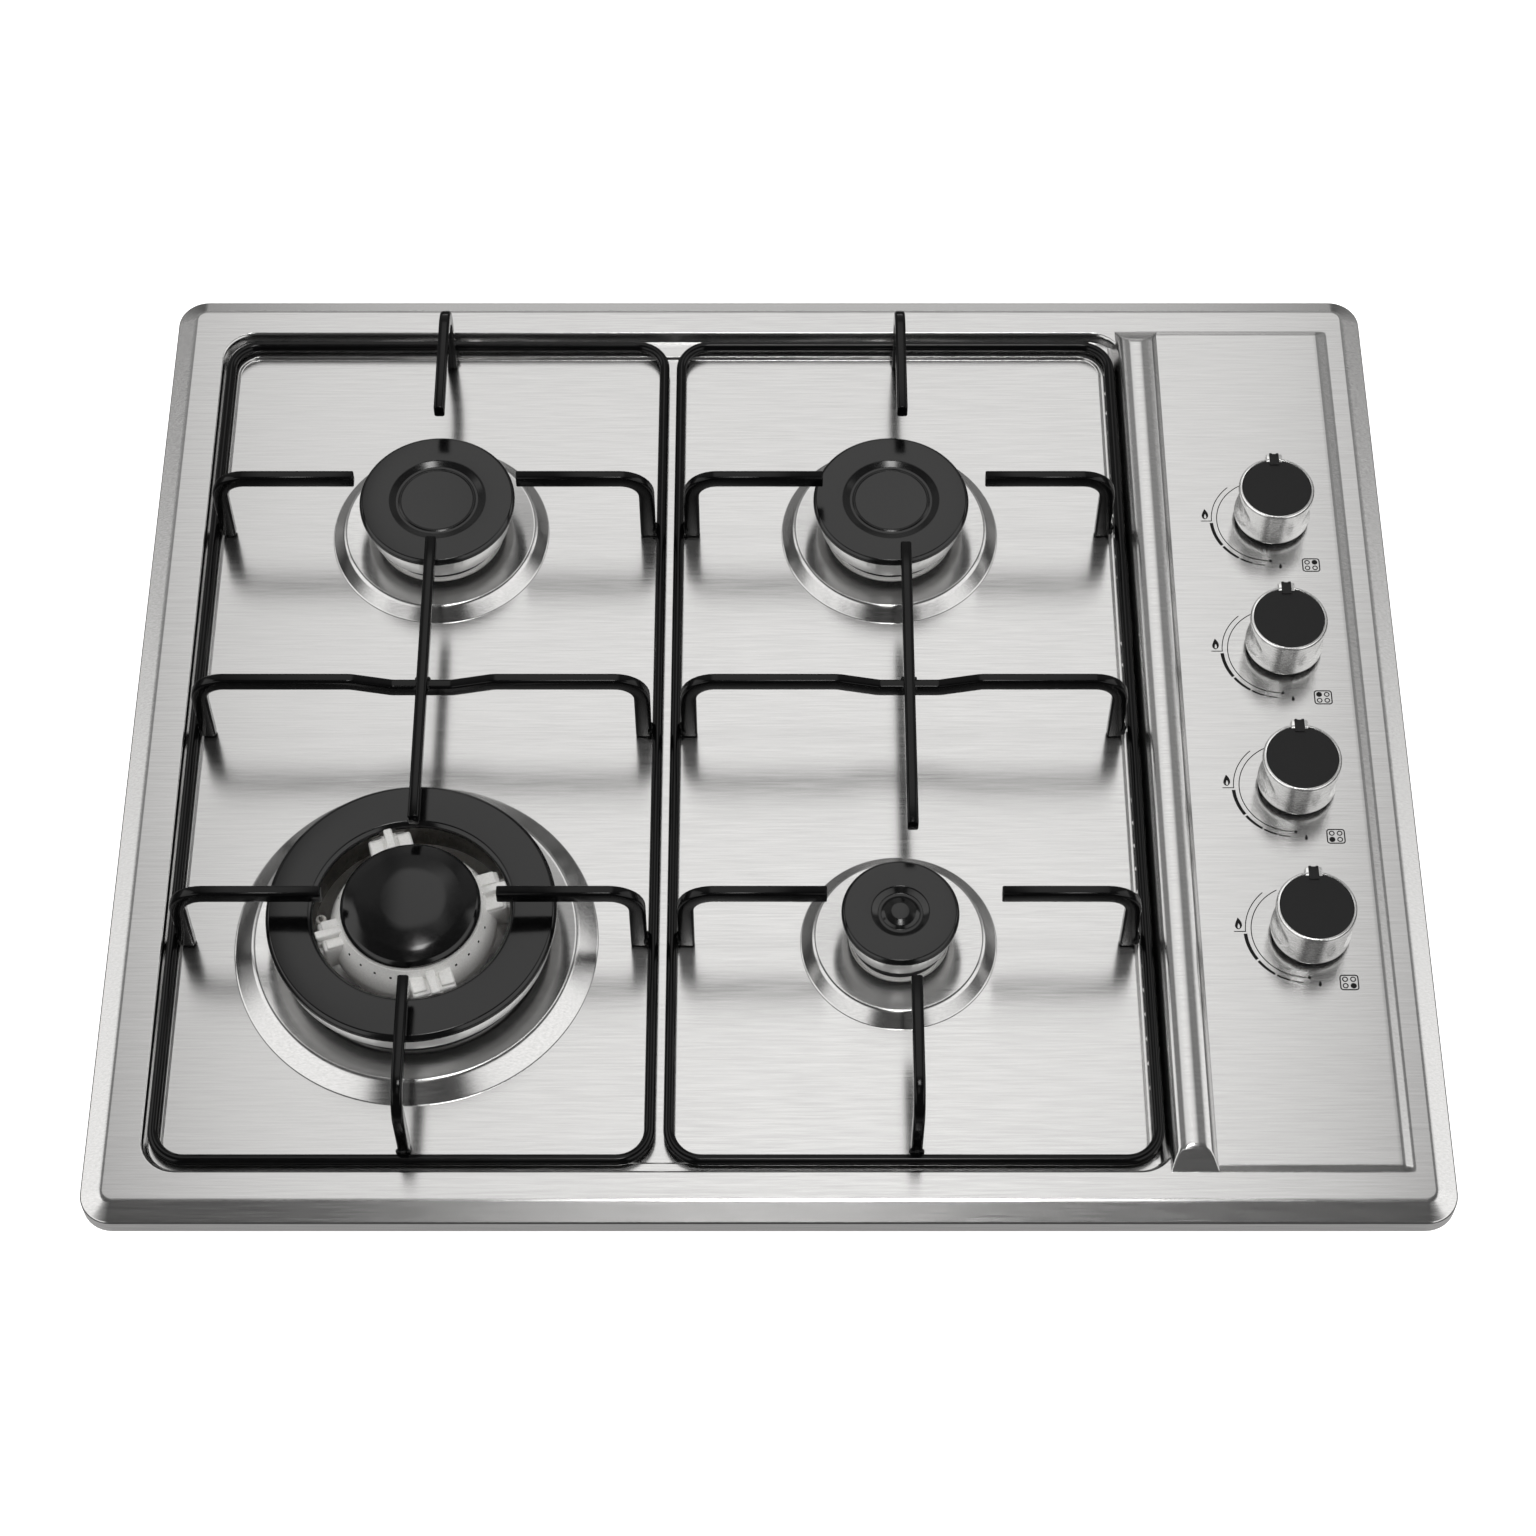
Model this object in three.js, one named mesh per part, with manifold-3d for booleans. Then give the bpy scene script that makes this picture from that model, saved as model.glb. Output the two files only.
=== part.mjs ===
// Built-in gas cooktop: four burners, two lift-off pan supports, four push-and-turn knobs.
// Millimetres. X to the right, Y to the rear, Z up. The origin is below the middle of the
// top, on the plane of the tray's bottom. The worktop's surface is the plane Z = Z_WORKTOP.

import * as THREE from 'three';
import { mergeVertices } from 'three/addons/utils/BufferGeometryUtils.js';
import Module from 'manifold-3d';

const wasm = await Module();
wasm.setup();

// ---------------------------------------------------------------- driving dimensions

const TOP_X = 580;            // outline of the pressed top, side to side
const TOP_Y = 495;            // front to rear
const SHEET = 0.8;            // thickness of the pressed sheet
const Z_WORKTOP = 45;         // worktop surface, lower edge of the skirt
const Z_SKIRT = 52.95;        // top of the skirt, foot of the chamfer
const Z_BORDER = 57;          // flat border around the well
const CHAMFER = 9;            // run of the chamfer
const CORNER_R = 14;          // outline corner radius

const WELL = { x0: -265.7, x1: 172, y: 225.7, r: 15 };   // upper edge of the well
const WALL_RUN = 1.5;         // draft of the well's wall
const Z_LEDGE = 52.5;         // narrow ledge that carries the pan supports
const LEDGE = { x0: -258.4, x1: 160.6, y0: -215.2, y1: 213.7, r: 10 };
const Z_FLOOR = 51.1;         // well floor

const RIDGE = { foot: 168, crest: 178, end: 189.7, top: 63, y: 225.4, yTop: 215.6 };
const PANEL = { x0: 189.7, x1: 272, y: 225.6, rise: 1.2, slope: 3.2 };

const BURNERS = {
  rear_left:   { x: -154.7, y: 108.0,  rim: 50.6, run: 5.6, zTop: 57.2, hole: 29.4, zHole: 55.9 },
  rear_right:  { x: 57.0,   y: 108.0,  rim: 50.6, run: 5.6, zTop: 57.2, hole: 29.4, zHole: 55.9 },
  wok:         { x: -154.7, y: -112.2, rim: 79.6, run: 8.7, zTop: 57.8, hole: 53.4, zHole: 56.2 },
  front_right: { x: 57.0,   y: -112.2, rim: 42.9, run: 5.6, zTop: 57.0, hole: 21.4, zHole: 55.9 },
};

const KNOB_X = 237;
const KNOB_Y = [112.8, 39.5, -35.2, -111.1];   // rear right, rear left, wok, front right
const KNOB_PUSH = 3;

const BAR = 5;                // square bar of the fingers
const Z_BAR = 95.5;           // centre line of the fingers
const WIRE_R = 2.2;           // frame wire of the pan supports
const Z_WIRE = 55;
const BEND = 12;              // centre-line bend of the fingers
const Z_LEG = 52.6;           // lower end of the legs
const SUPPORTS = {
  left:  { x0: -261.6, x1: -50.6, y0: -219, y1: 217.5, fx: -154.5, xm: -154.7, bar: -3.5, m0: -75.5, m1: 74.0 },
  right: { x0: -42.4,  x1: 164.2, y0: -219, y1: 217.5, fx: 62.6,   xm: 62.6,   bar: -3.5, m0: -78.5, m1: 71.0 },
};
const TIP = 37.6;             // side finger tip from the finger axis
const REAR_TIP = 147.5, FRONT_TIP = -153.4;

const TRAY = { x: 277, y: 234.5, yLow: 226.4, r: 8, t: 0.8, top: 55.9 };   // front and rear walls lean in below the worktop
const POCKET = { x0: 205, y0: 188, z: 28 };   // raised corner for the gas and mains connections
const RAIL_Z = 20, RAIL_R = 7;
const INLET = { x: 237, y: 212 };
const GLAND = { x: 261, y: 212 };

// ---------------------------------------------------------------- colours

const steel = () => new THREE.MeshStandardMaterial({ color: 0xc9c8c6, metalness: 1, roughness: 0.32 });
const enamel = () => new THREE.MeshStandardMaterial({ color: 0x101011, metalness: 0, roughness: 0.16 });
const castAlu = () => new THREE.MeshStandardMaterial({ color: 0xd4d3d0, metalness: 1, roughness: 0.42 });
const galvanised = () => new THREE.MeshStandardMaterial({ color: 0xa9adb0, metalness: 1, roughness: 0.5 });
const brass = () => new THREE.MeshStandardMaterial({ color: 0xc7a255, metalness: 1, roughness: 0.35 });
const ceramic = () => new THREE.MeshStandardMaterial({ color: 0xeeeae0, metalness: 0, roughness: 0.5 });
const rubber = () => new THREE.MeshStandardMaterial({ color: 0x151515, metalness: 0, roughness: 0.8 });
const blackPlastic = () => new THREE.MeshStandardMaterial({ color: 0x17171a, metalness: 0, roughness: 0.6 });
const satinShell = () => new THREE.MeshStandardMaterial({ color: 0xd9d9d8, metalness: 1, roughness: 0.28 });
const alu = () => new THREE.MeshStandardMaterial({ color: 0xb9bcbf, metalness: 1, roughness: 0.4 });

// ---------------------------------------------------------------- solids

function volume(pos, idx) {
  let v = 0;
  const a = new THREE.Vector3(), b = new THREE.Vector3(), c = new THREE.Vector3();
  for (let i = 0; i < idx.length; i += 3) {
    a.fromArray(pos, idx[i] * 3); b.fromArray(pos, idx[i + 1] * 3); c.fromArray(pos, idx[i + 2] * 3);
    v += a.dot(b.cross(c));
  }
  return v / 6;
}

// position-only, shared vertices, no slivers, faces out
function clean(geo) {
  let g = geo.clone();
  for (const n of Object.keys(g.attributes)) if (n !== 'position') g.deleteAttribute(n);
  g.clearGroups();
  g = mergeVertices(g, 1e-4);
  const src = g.index.array;
  const out = [];
  for (let i = 0; i < src.length; i += 3) {
    const [a, b, c] = [src[i], src[i + 1], src[i + 2]];
    if (a !== b && b !== c && a !== c) out.push(a, b, c);
  }
  if (volume(g.attributes.position.array, out) < 0) {
    for (let i = 0; i < out.length; i += 3) [out[i + 1], out[i + 2]] = [out[i + 2], out[i + 1]];
  }
  g.setIndex(out);
  return g;
}

function solid(geo) {
  const g = clean(geo);
  return new wasm.Manifold(new wasm.Mesh({
    numProp: 3,
    vertProperties: new Float32Array(g.attributes.position.array),
    triVerts: new Uint32Array(g.index.array),
  }));
}

function geometry(m) {
  const mesh = m.getMesh();
  const n = mesh.vertProperties.length / mesh.numProp;
  const pos = new Float32Array(n * 3);
  for (let i = 0; i < n; i++) for (let k = 0; k < 3; k++) pos[i * 3 + k] = mesh.vertProperties[i * mesh.numProp + k];
  const g = new THREE.BufferGeometry();
  g.setAttribute('position', new THREE.BufferAttribute(pos, 3));
  g.setIndex(new THREE.BufferAttribute(new Uint32Array(mesh.triVerts), 1));
  return g;
}

const union = (list) => list.reduce((a, b) => a.add(b));
const minus = (m, list) => list.reduce((a, b) => a.subtract(b), m);

// closed solid through a stack of equal-length rings of points; flat caps
function loft(rings, plane = 'xy') {
  const n = rings[0].length;
  const pos = [];
  for (const r of rings) for (const p of r) pos.push(...p);
  const idx = [];
  for (let k = 0; k + 1 < rings.length; k++) {
    for (let i = 0; i < n; i++) {
      const j = (i + 1) % n;
      const a = k * n + i, b = k * n + j, c = (k + 1) * n + j, d = (k + 1) * n + i;
      idx.push(a, b, c, a, c, d);
    }
  }
  const flat = (r) => r.map((p) => plane === 'xy' ? new THREE.Vector2(p[0], p[1]) : new THREE.Vector2(p[2], p[0]));
  const low = THREE.ShapeUtils.triangulateShape(flat(rings[0]), []);
  for (const [a, b, c] of low) idx.push(a, c, b);
  const base = (rings.length - 1) * n;
  const high = THREE.ShapeUtils.triangulateShape(flat(rings[rings.length - 1]), []);
  for (const [a, b, c] of high) idx.push(base + a, base + b, base + c);
  const g = new THREE.BufferGeometry();
  g.setAttribute('position', new THREE.BufferAttribute(new Float32Array(pos), 3));
  g.setIndex(idx);
  return g;
}

function roundRect(x0, x1, y0, y1, r, z, n = 3) {
  const pts = [];
  const corners = [[x1 - r, y1 - r, 0], [x0 + r, y1 - r, 90], [x0 + r, y0 + r, 180], [x1 - r, y0 + r, 270]];
  for (const [cx, cy, a0] of corners) {
    for (let k = 0; k <= n; k++) {
      const a = THREE.MathUtils.degToRad(a0 + 90 * k / n);
      pts.push([cx + r * Math.cos(a), cy + r * Math.sin(a), z]);
    }
  }
  return pts;
}

// solid of revolution about a vertical axis; the profile is a list of [radius, height]
function turned(profile, seg, x = 0, y = 0) {
  const pts = profile.map(([r, z]) => new THREE.Vector2(r, z));
  const onAxis = profile[0][0] === 0 && profile[profile.length - 1][0] === 0;
  if (!onAxis) pts.push(pts[0].clone());
  const g = new THREE.LatheGeometry(pts, seg);
  g.rotateX(Math.PI / 2);
  g.translate(x, y, 0);
  return g;
}

function box(x0, x1, y0, y1, z0, z1) {
  const g = new THREE.BoxGeometry(x1 - x0, y1 - y0, z1 - z0);
  g.translate((x0 + x1) / 2, (y0 + y1) / 2, (z0 + z1) / 2);
  return g;
}

function cyl(x, y, z0, z1, r, seg = 16) {
  const g = new THREE.CylinderGeometry(r, r, z1 - z0, seg);
  g.rotateX(Math.PI / 2);
  g.translate(x, y, (z0 + z1) / 2);
  return g;
}

// round bar lying along Y
function cylY(x, z, y0, y1, r, seg = 12) {
  const g = new THREE.CylinderGeometry(r, r, y1 - y0, seg);
  g.translate(x, (y0 + y1) / 2, z);
  return g;
}

// bar of a constant section along points; side is the normal of the plane that the bar bends in
function bar(points, section, side, closed = false) {
  const p = points.map((q) => new THREE.Vector3(...q));
  const s = new THREE.Vector3(...side).normalize();
  const n = p.length;
  const rings = [];
  for (let i = 0; i < n; i++) {
    const before = closed ? p[(i + n - 1) % n] : p[Math.max(i - 1, 0)];
    const after = closed ? p[(i + 1) % n] : p[Math.min(i + 1, n - 1)];
    const t0 = p[i].clone().sub(before), t1 = after.clone().sub(p[i]);
    if (t0.lengthSq() === 0) t0.copy(t1);
    if (t1.lengthSq() === 0) t1.copy(t0);
    t0.normalize(); t1.normalize();
    const t = t0.clone().add(t1).normalize();
    const stretch = 1 / Math.max(t.dot(t1), 0.5);
    const up = new THREE.Vector3().crossVectors(t, s).normalize().multiplyScalar(stretch);
    rings.push(section.map(([u, v]) => p[i].clone().addScaledVector(s, u).addScaledVector(up, v).toArray()));
  }
  const m = section.length;
  const pos = rings.flat(2);
  const idx = [];
  const last = closed ? n : n - 1;
  for (let k = 0; k < last; k++) {
    const k1 = (k + 1) % n;
    for (let i = 0; i < m; i++) {
      const j = (i + 1) % m;
      idx.push(k * m + i, k1 * m + i, k1 * m + j, k * m + i, k1 * m + j, k * m + j);
    }
  }
  if (!closed) {
    for (let i = 1; i + 1 < m; i++) {
      idx.push(0, i, i + 1);
      idx.push((n - 1) * m, (n - 1) * m + i + 1, (n - 1) * m + i);
    }
  }
  const g = new THREE.BufferGeometry();
  g.setAttribute('position', new THREE.BufferAttribute(new Float32Array(pos), 3));
  g.setIndex(idx);
  return g;
}

function octagon(w, cut) {
  const h = w / 2, c = h - cut;
  return [[h, -c], [h, c], [c, h], [-c, h], [-h, c], [-h, -c], [-c, -h], [c, -h]];
}
function circle(r, n) {
  return Array.from({ length: n }, (_, i) => [r * Math.cos((i + 0.5) * 2 * Math.PI / n), r * Math.sin((i + 0.5) * 2 * Math.PI / n)]);
}

// arc between two directions in a vertical plane, as [along, height] pairs
function bend(along, height, r, a0, a1, n) {
  const out = [];
  for (let k = 0; k <= n; k++) {
    const a = THREE.MathUtils.degToRad(a0 + (a1 - a0) * k / n);
    out.push([along + r * Math.cos(a), height + r * Math.sin(a)]);
  }
  return out;
}

// ---------------------------------------------------------------- the object

const root = new THREE.Group();
function piece(name, shape, material, parent = root) {
  const g = shape.isBufferGeometry ? clean(shape) : clean(geometry(shape));
  g.computeVertexNormals();
  const mesh = new THREE.Mesh(g, material);
  mesh.name = name;
  parent.add(mesh);
  return mesh;
}

// ---- pressed top: a solid of the upper surface less the same form one sheet thickness in

function pressing(t) {
  const x = TOP_X / 2 - t, y = TOP_Y / 2 - t;
  const zb = t > 0 ? Z_WORKTOP - 2 : Z_WORKTOP;
  const cx = TOP_X / 2 - CHAMFER - t * 0.45, cy = TOP_Y / 2 - CHAMFER - t * 0.45;
  let body = solid(loft([
    roundRect(-x, x, -y, y, CORNER_R - t, zb),
    roundRect(-x, x, -y, y, CORNER_R - t, Z_SKIRT - t * 0.55),
    roundRect(-cx, cx, -cy, cy, 6, Z_BORDER - t),
  ]));
  // the well: draft wall down to the ledge, then the floor
  const u = t * 0.95;
  const w = WELL;
  body = minus(body, [
    solid(loft([
      roundRect(w.x0 + WALL_RUN - u, w.x1 - 3 + u, -w.y + WALL_RUN - u, w.y - WALL_RUN + u, w.r - WALL_RUN + u, Z_LEDGE - t),
      roundRect(w.x0 - u, w.x1 + u, -w.y - u, w.y + u, w.r + u, Z_BORDER - t + (t > 0 ? 0.0 : 0)),
      roundRect(w.x0 - u, w.x1 + u, -w.y - u, w.y + u, w.r + u, Z_BORDER + 6),
    ])),
    solid(loft([
      roundRect(LEDGE.x0 - u + 0.7, LEDGE.x1 + u - 0.7, LEDGE.y0 - u + 0.7, LEDGE.y1 + u - 0.7, LEDGE.r, Z_FLOOR - t),
      roundRect(LEDGE.x0 - u, LEDGE.x1 + u, LEDGE.y0 - u, LEDGE.y1 + u, LEDGE.r + 0.7, Z_LEDGE - t + 0.02),
      roundRect(LEDGE.x0 - u, LEDGE.x1 + u, LEDGE.y0 - u, LEDGE.y1 + u, LEDGE.r + 0.7, Z_LEDGE + 1),
    ])),
  ]);
  // the ridge between the well and the control panel, falling to the border at both ends
  const r = RIDGE;
  const n = 7;
  const profile = (s) => {
    const pts = [[r.foot - 1.5 + t, Z_FLOOR - 4]];
    for (let k = 0; k <= n; k++) {
      const f = k / n;
      const px = r.foot + f * (r.end - r.foot);
      const left = px < r.crest;
      const d = left ? (r.crest - px) / (r.crest - r.foot) : (px - r.crest) / (r.end - r.crest);
      const low = left ? Z_LEDGE : Z_BORDER + PANEL.rise;
      const full = low + (r.top - low) * 0.5 * (1 + Math.cos(Math.PI * Math.pow(d, 1.25)));
      const flat = left ? Math.min(full, Z_BORDER - 0.02) : Math.min(full, Z_BORDER - 0.02);
      pts.push([px + (left ? t : -t) * 0.6, flat + (full - flat) * s - t]);
    }
    pts.push([r.end - t, Z_FLOOR - 4]);
    return pts;
  };
  const ridgeRing = (y, s) => profile(s).map(([px, pz]) => [px, y, pz]);
  const rings = [
    ridgeRing(-r.y + t, 0), ridgeRing(-r.yTop + t * 0.5 - 3.5, 0.72), ridgeRing(-r.yTop + t * 0.5, 1),
    ridgeRing(r.yTop - t * 0.5, 1), ridgeRing(r.yTop - t * 0.5 + 3.5, 0.72), ridgeRing(r.y - t, 0),
  ];
  body = body.add(solid(loft(rings, 'xz')));
  // the raised control panel
  const p = PANEL;
  body = body.add(solid(loft([
    roundRect(p.x0 - 2 + t * 0.3, p.x1 - t * 0.3, -p.y + t * 0.3, p.y - t * 0.3, 4, Z_BORDER - 3 - t),
    roundRect(p.x0 - 2 + t * 0.3, p.x1 - t * 0.3, -p.y + t * 0.3, p.y - t * 0.3, 4, Z_BORDER - t),
    roundRect(p.x0 - 1.6 + t * 0.3, p.x1 - p.slope - t * 0.3, -p.y + p.slope + t * 0.3, p.y - p.slope - t * 0.3, 2, Z_BORDER + p.rise - t),
  ])));
  // burner plateaus: a cone up from the floor, then a shallow dish towards the burner
  for (const b of Object.values(BURNERS)) {
    const seg = b.rim > 60 ? 30 : 22;
    const top = b.rim - b.run;
    body = body.add(solid(turned([
      [0, Z_FLOOR - 3 - t], [b.rim - t * 0.6, Z_FLOOR - 3 - t], [b.rim - t * 0.6, Z_FLOOR - t],
      [top + 0.3 - t * 0.4, b.zTop - 0.3 - t], [top - 1.2 - t * 0.4, b.zTop - t],
      [b.hole - 6, b.zHole - 0.3 - t], [0, b.zHole - 0.3 - t],
    ], seg, b.x, b.y)));
  }
  return body;
}

let top = pressing(0).subtract(pressing(SHEET));
const holes = [];
for (const b of Object.values(BURNERS)) holes.push(solid(cyl(b.x, b.y, 44, 64, b.hole, b.rim > 60 ? 30 : 22)));
for (const y of KNOB_Y) holes.push(solid(cyl(KNOB_X, y, 44, 66, 5.2, 12)));
const ELECTRODES = {
  rear_left:   { a: 90, r: 36.9 },
  rear_right:  { a: 90, r: 36.9 },
  wok:         { a: 182, r: 39.6 },
  front_right: { a: 90, r: 27.9 },
};
for (const [k, e] of Object.entries(ELECTRODES)) {
  const b = BURNERS[k];
  const a = THREE.MathUtils.degToRad(e.a);
  e.x = b.x + e.r * Math.cos(a);
  e.y = b.y + e.r * Math.sin(a);
  if (e.r > b.hole) holes.push(solid(cyl(e.x, e.y, 44, 66, 3.3, 8)));
}
top = minus(top, holes);
piece('hob_top', top, steel());

// ---- pan supports

function panSupport(s) {
  const sq = octagon(BAR, 1.1);
  const parts = [];
  // frame wire, a rounded rectangle
  const loop = roundRect(s.x0, s.x1, s.y0, s.y1, 14, Z_WIRE, 4);
  parts.push(solid(bar(loop, circle(WIRE_R, 6), [0, 0, 1], true)));
  const xl = s.x0 + 6.7, xr = s.x1 - 6.7;
  const weldX = (wx, lx, y) => solid(box(Math.min(wx, lx), Math.max(wx, lx), y - 1.8, y + 1.8, Z_WIRE - 1.6, Z_WIRE + 1.4));
  // side fingers at each burner
  for (const y of [108.7, -112.3]) {
    const left = [[xl, Z_LEG], ...bend(xl + BEND, Z_BAR - BEND, BEND, 180, 90, 3), [s.fx - TIP, Z_BAR]];
    const right = [[xr, Z_LEG], ...bend(xr - BEND, Z_BAR - BEND, BEND, 0, 90, 3), [s.fx + TIP, Z_BAR]];
    for (const path of [left, right]) parts.push(solid(bar(path.map(([a, z]) => [a, y, z]), sq, [0, 1, 0])));
    parts.push(weldX(s.x0 + 1, xl - 1, y), weldX(s.x1 - 1, xr + 1, y));
  }
  // cross bar, arched down in the middle where the long finger lies on it
  const dip = Z_BAR - BAR + 0.3;
  const cross = [[xl, Z_LEG], ...bend(xl + BEND, Z_BAR - BEND, BEND, 180, 90, 3),
    [s.xm - 34, Z_BAR], [s.xm - 30, Z_BAR - 0.4], [s.xm - 15.5, dip + 0.5], [s.xm - 11.5, dip],
    [s.xm + 11.5, dip], [s.xm + 15.5, dip + 0.5], [s.xm + 30, Z_BAR - 0.4], [s.xm + 34, Z_BAR],
    ...bend(xr - BEND, Z_BAR - BEND, BEND, 90, 0, 3), [xr, Z_LEG]];
  parts.push(solid(bar(cross.map(([a, z]) => [a, s.bar, z]), sq, [0, 1, 0])));
  parts.push(weldX(s.x0 + 1, xl - 1, s.bar), weldX(s.x1 - 1, xr + 1, s.bar));
  // long finger over the middle, and the rear and front fingers
  parts.push(solid(bar([[s.fx, s.m0, Z_BAR], [s.fx, s.m1, Z_BAR]], sq, [1, 0, 0])));
  const yr = s.y1 - 7.5, yf = s.y0 + 6.7;
  const rear = [[yr, Z_LEG], ...bend(yr - BEND, Z_BAR - BEND, BEND, 0, 90, 3), [REAR_TIP, Z_BAR]];
  const front = [[yf, Z_LEG], ...bend(yf + BEND, Z_BAR - BEND, BEND, 180, 90, 3), [FRONT_TIP, Z_BAR]];
  for (const path of [rear, front]) parts.push(solid(bar(path.map(([a, z]) => [s.fx, a, z]), sq, [1, 0, 0])));
  parts.push(solid(box(s.fx - 1.8, s.fx + 1.8, yr + 1, s.y1 - 1, Z_WIRE - 1.6, Z_WIRE + 1.4)));
  parts.push(solid(box(s.fx - 1.8, s.fx + 1.8, s.y0 + 1, yf - 1, Z_WIRE - 1.6, Z_WIRE + 1.4)));
  return union(parts);
}
piece('pan_support_left', panSupport(SUPPORTS.left), enamel());
piece('pan_support_right', panSupport(SUPPORTS.right), enamel());

// ---- burners

// notches for the flame ports across a crown's wall
function ports(head, x, y, r0, r1, z0, z1, width, count, phase = 0) {
  const cuts = [];
  for (let k = 0; k < count; k++) {
    const g = new THREE.BoxGeometry(r1 - r0, width, z1 - z0);
    g.translate((r0 + r1) / 2, 0, (z0 + z1) / 2);
    g.rotateZ(2 * Math.PI * (k + phase) / count);
    g.translate(x, y, 0);
    cuts.push(solid(g));
  }
  return minus(head, cuts);
}

for (const name of ['rear_left', 'rear_right']) {
  const { x, y } = BURNERS[name];
  piece(`${name}_burner_cup`, turned([
    [0, 10], [20, 10], [28.2, 22], [28.2, 52.6], [33.5, 52.6], [33.5, 54.4], [28.2, 54.4], [28.2, 57.2],
    [25.6, 57.2], [25.6, 22.6], [18.8, 12.2], [0, 12.2],
  ], 16, x, y), castAlu());
  let head = solid(turned([
    [22.6, 46], [24.6, 46], [24.6, 57.5], [27.6, 57.5], [28.6, 63.2], [33, 64.4], [33, 75.9], [30.8, 75.9],
    [30.8, 66], [9.5, 65], [9.5, 49], [11.5, 49], [11.5, 62], [22.6, 62],
  ], 20, x, y));
  head = ports(head, x, y, 29.5, 34, 72.9, 77, 2.6, 10, 0.5);
  piece(`${name}_burner_head`, head, castAlu());
  piece(`${name}_burner_cap`, turned([
    [0, 76.2], [28.5, 76.2], [28.5, 74.2], [30.2, 74.2], [30.2, 76.2], [35.3, 76.2], [36.1, 76.9], [36.1, 78.8],
    [35, 79.9], [20.4, 79.9], [17.7, 78.4], [0, 78.4],
  ], 26, x, y), enamel());
}
{
  const { x, y } = BURNERS.front_right;
  piece('front_right_burner_cup', turned([
    [0, 12], [14, 12], [20.2, 21], [20.2, 52.6], [24.6, 52.6], [24.6, 54.4], [20.2, 54.4], [20.2, 57.2],
    [18, 57.2], [18, 21.8], [13, 14], [0, 14],
  ], 14, x, y), castAlu());
  let head = solid(turned([
    [15.2, 46], [17, 46], [17, 57.5], [19.6, 57.5], [20.2, 64.2], [23.4, 65.5], [23.4, 75.5], [21.6, 75.5],
    [21.6, 66.6], [6.5, 65.8], [6.5, 49], [8.3, 49], [8.3, 63], [15.2, 63],
  ], 16, x, y));
  head = ports(head, x, y, 20.6, 25, 72.8, 76.5, 2.4, 8, 0.5);
  piece('front_right_burner_head', head, castAlu());
  piece('front_right_burner_cap', turned([
    [0, 75.8], [19.3, 75.8], [19.3, 74], [20.8, 74], [20.8, 75.8], [24.8, 75.8], [25.6, 76.5], [25.6, 78.4],
    [24.5, 79.5], [12, 79.5], [9.6, 77.8], [7.7, 78.2], [5, 79.2], [0, 79.7],
  ], 22, x, y), enamel());
}
{
  const { x, y } = BURNERS.wok;
  piece('wok_burner_cup', turned([
    [0, 9], [44, 9], [52.6, 20], [52.6, 52.6], [58, 52.6], [58, 54.4], [52.6, 54.4], [52.6, 57.2],
    [50, 57.2], [50, 20.8], [43, 11.2], [0, 11.2],
  ], 20, x, y), castAlu());
  const ring = solid(turned([
    [44.6, 61], [49, 57.5], [55.5, 57.5], [56.5, 65.8], [61, 67.6], [61, 76.3], [58.8, 76.3],
    [58.8, 69.4], [47.2, 69.4], [47.2, 76.3], [44.6, 76.3],
  ], 28, x, y));
  const crown = solid(turned([
    [10, 50], [12, 50], [12, 59], [30, 59], [36.2, 64], [36.2, 69.5], [31.2, 81.9], [29, 81.9],
    [29, 67], [10, 65.5],
  ], 22, x, y));
  let parts = [ring, crown];
  for (let k = 0; k < 4; k++) {
    const a = THREE.MathUtils.degToRad(17.5 + 90 * k);
    for (const [r0, r1, w, z0, z1] of [[29.5, 41.3, 15, 62.5, 78.6], [35, 46, 12, 62.5, 73.9], [30.2, 42, 3.6, 78, 80.6]]) {
      const g = new THREE.BoxGeometry(r1 - r0, w, z1 - z0);
      g.translate((r0 + r1) / 2, 0, (z0 + z1) / 2);
      g.rotateZ(a);
      g.translate(x, y, 0);
      parts.push(solid(g));
    }
  }
  let head = union(parts);
  head = ports(head, x, y, 57.5, 63, 73.3, 77, 3, 12, 0.5);
  piece('wok_burner_head', head, castAlu());
  piece('wok_ring_cap', turned([
    [43.6, 76.6], [62.1, 76.6], [63, 77.5], [63, 79.5], [61.4, 81.1], [44.3, 81.1], [42.7, 79.5], [42.7, 77.5],
  ], 30, x, y), enamel());
  piece('wok_inner_cap', turned([
    [0, 82.2], [26.4, 82.2], [26.4, 80.1], [28.2, 80.1], [28.2, 82.2], [29.5, 82.2], [30.4, 83.1], [30.4, 84.6],
    [29.1, 86.2], [23.6, 88.3], [14.4, 90.1], [0, 90.9],
  ], 22, x, y), enamel());
}

for (const [k, e] of Object.entries(ELECTRODES)) {
  const z = k === 'wok' ? 74.6 : 66;
  piece(`${k}_electrode`, turned([
    [0, 40], [2.7, 40], [2.7, z - 0.6], [2.1, z], [0.9, z], [0.9, z + 2.8], [0, z + 2.8],
  ], 8, e.x, e.y), ceramic());
}

// injectors: hexagon nozzles standing in the cups
for (const [k, b] of Object.entries(BURNERS)) {
  const z = k === 'wok' ? 11.5 : k === 'front_right' ? 14.3 : 12.5;
  piece(`${k}_injector`, turned([
    [0, z], [4, z], [4, z + 4], [5.4, z + 4], [5.4, z + 10], [2.6, z + 12.5], [0.8, z + 12.5], [0.8, z + 8], [0, z + 8],
  ], 6, b.x, b.y), brass());
}

// ---- controls: per knob a shell, an insert with a pointer, a stem, a collar seal, a gas tap

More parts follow.
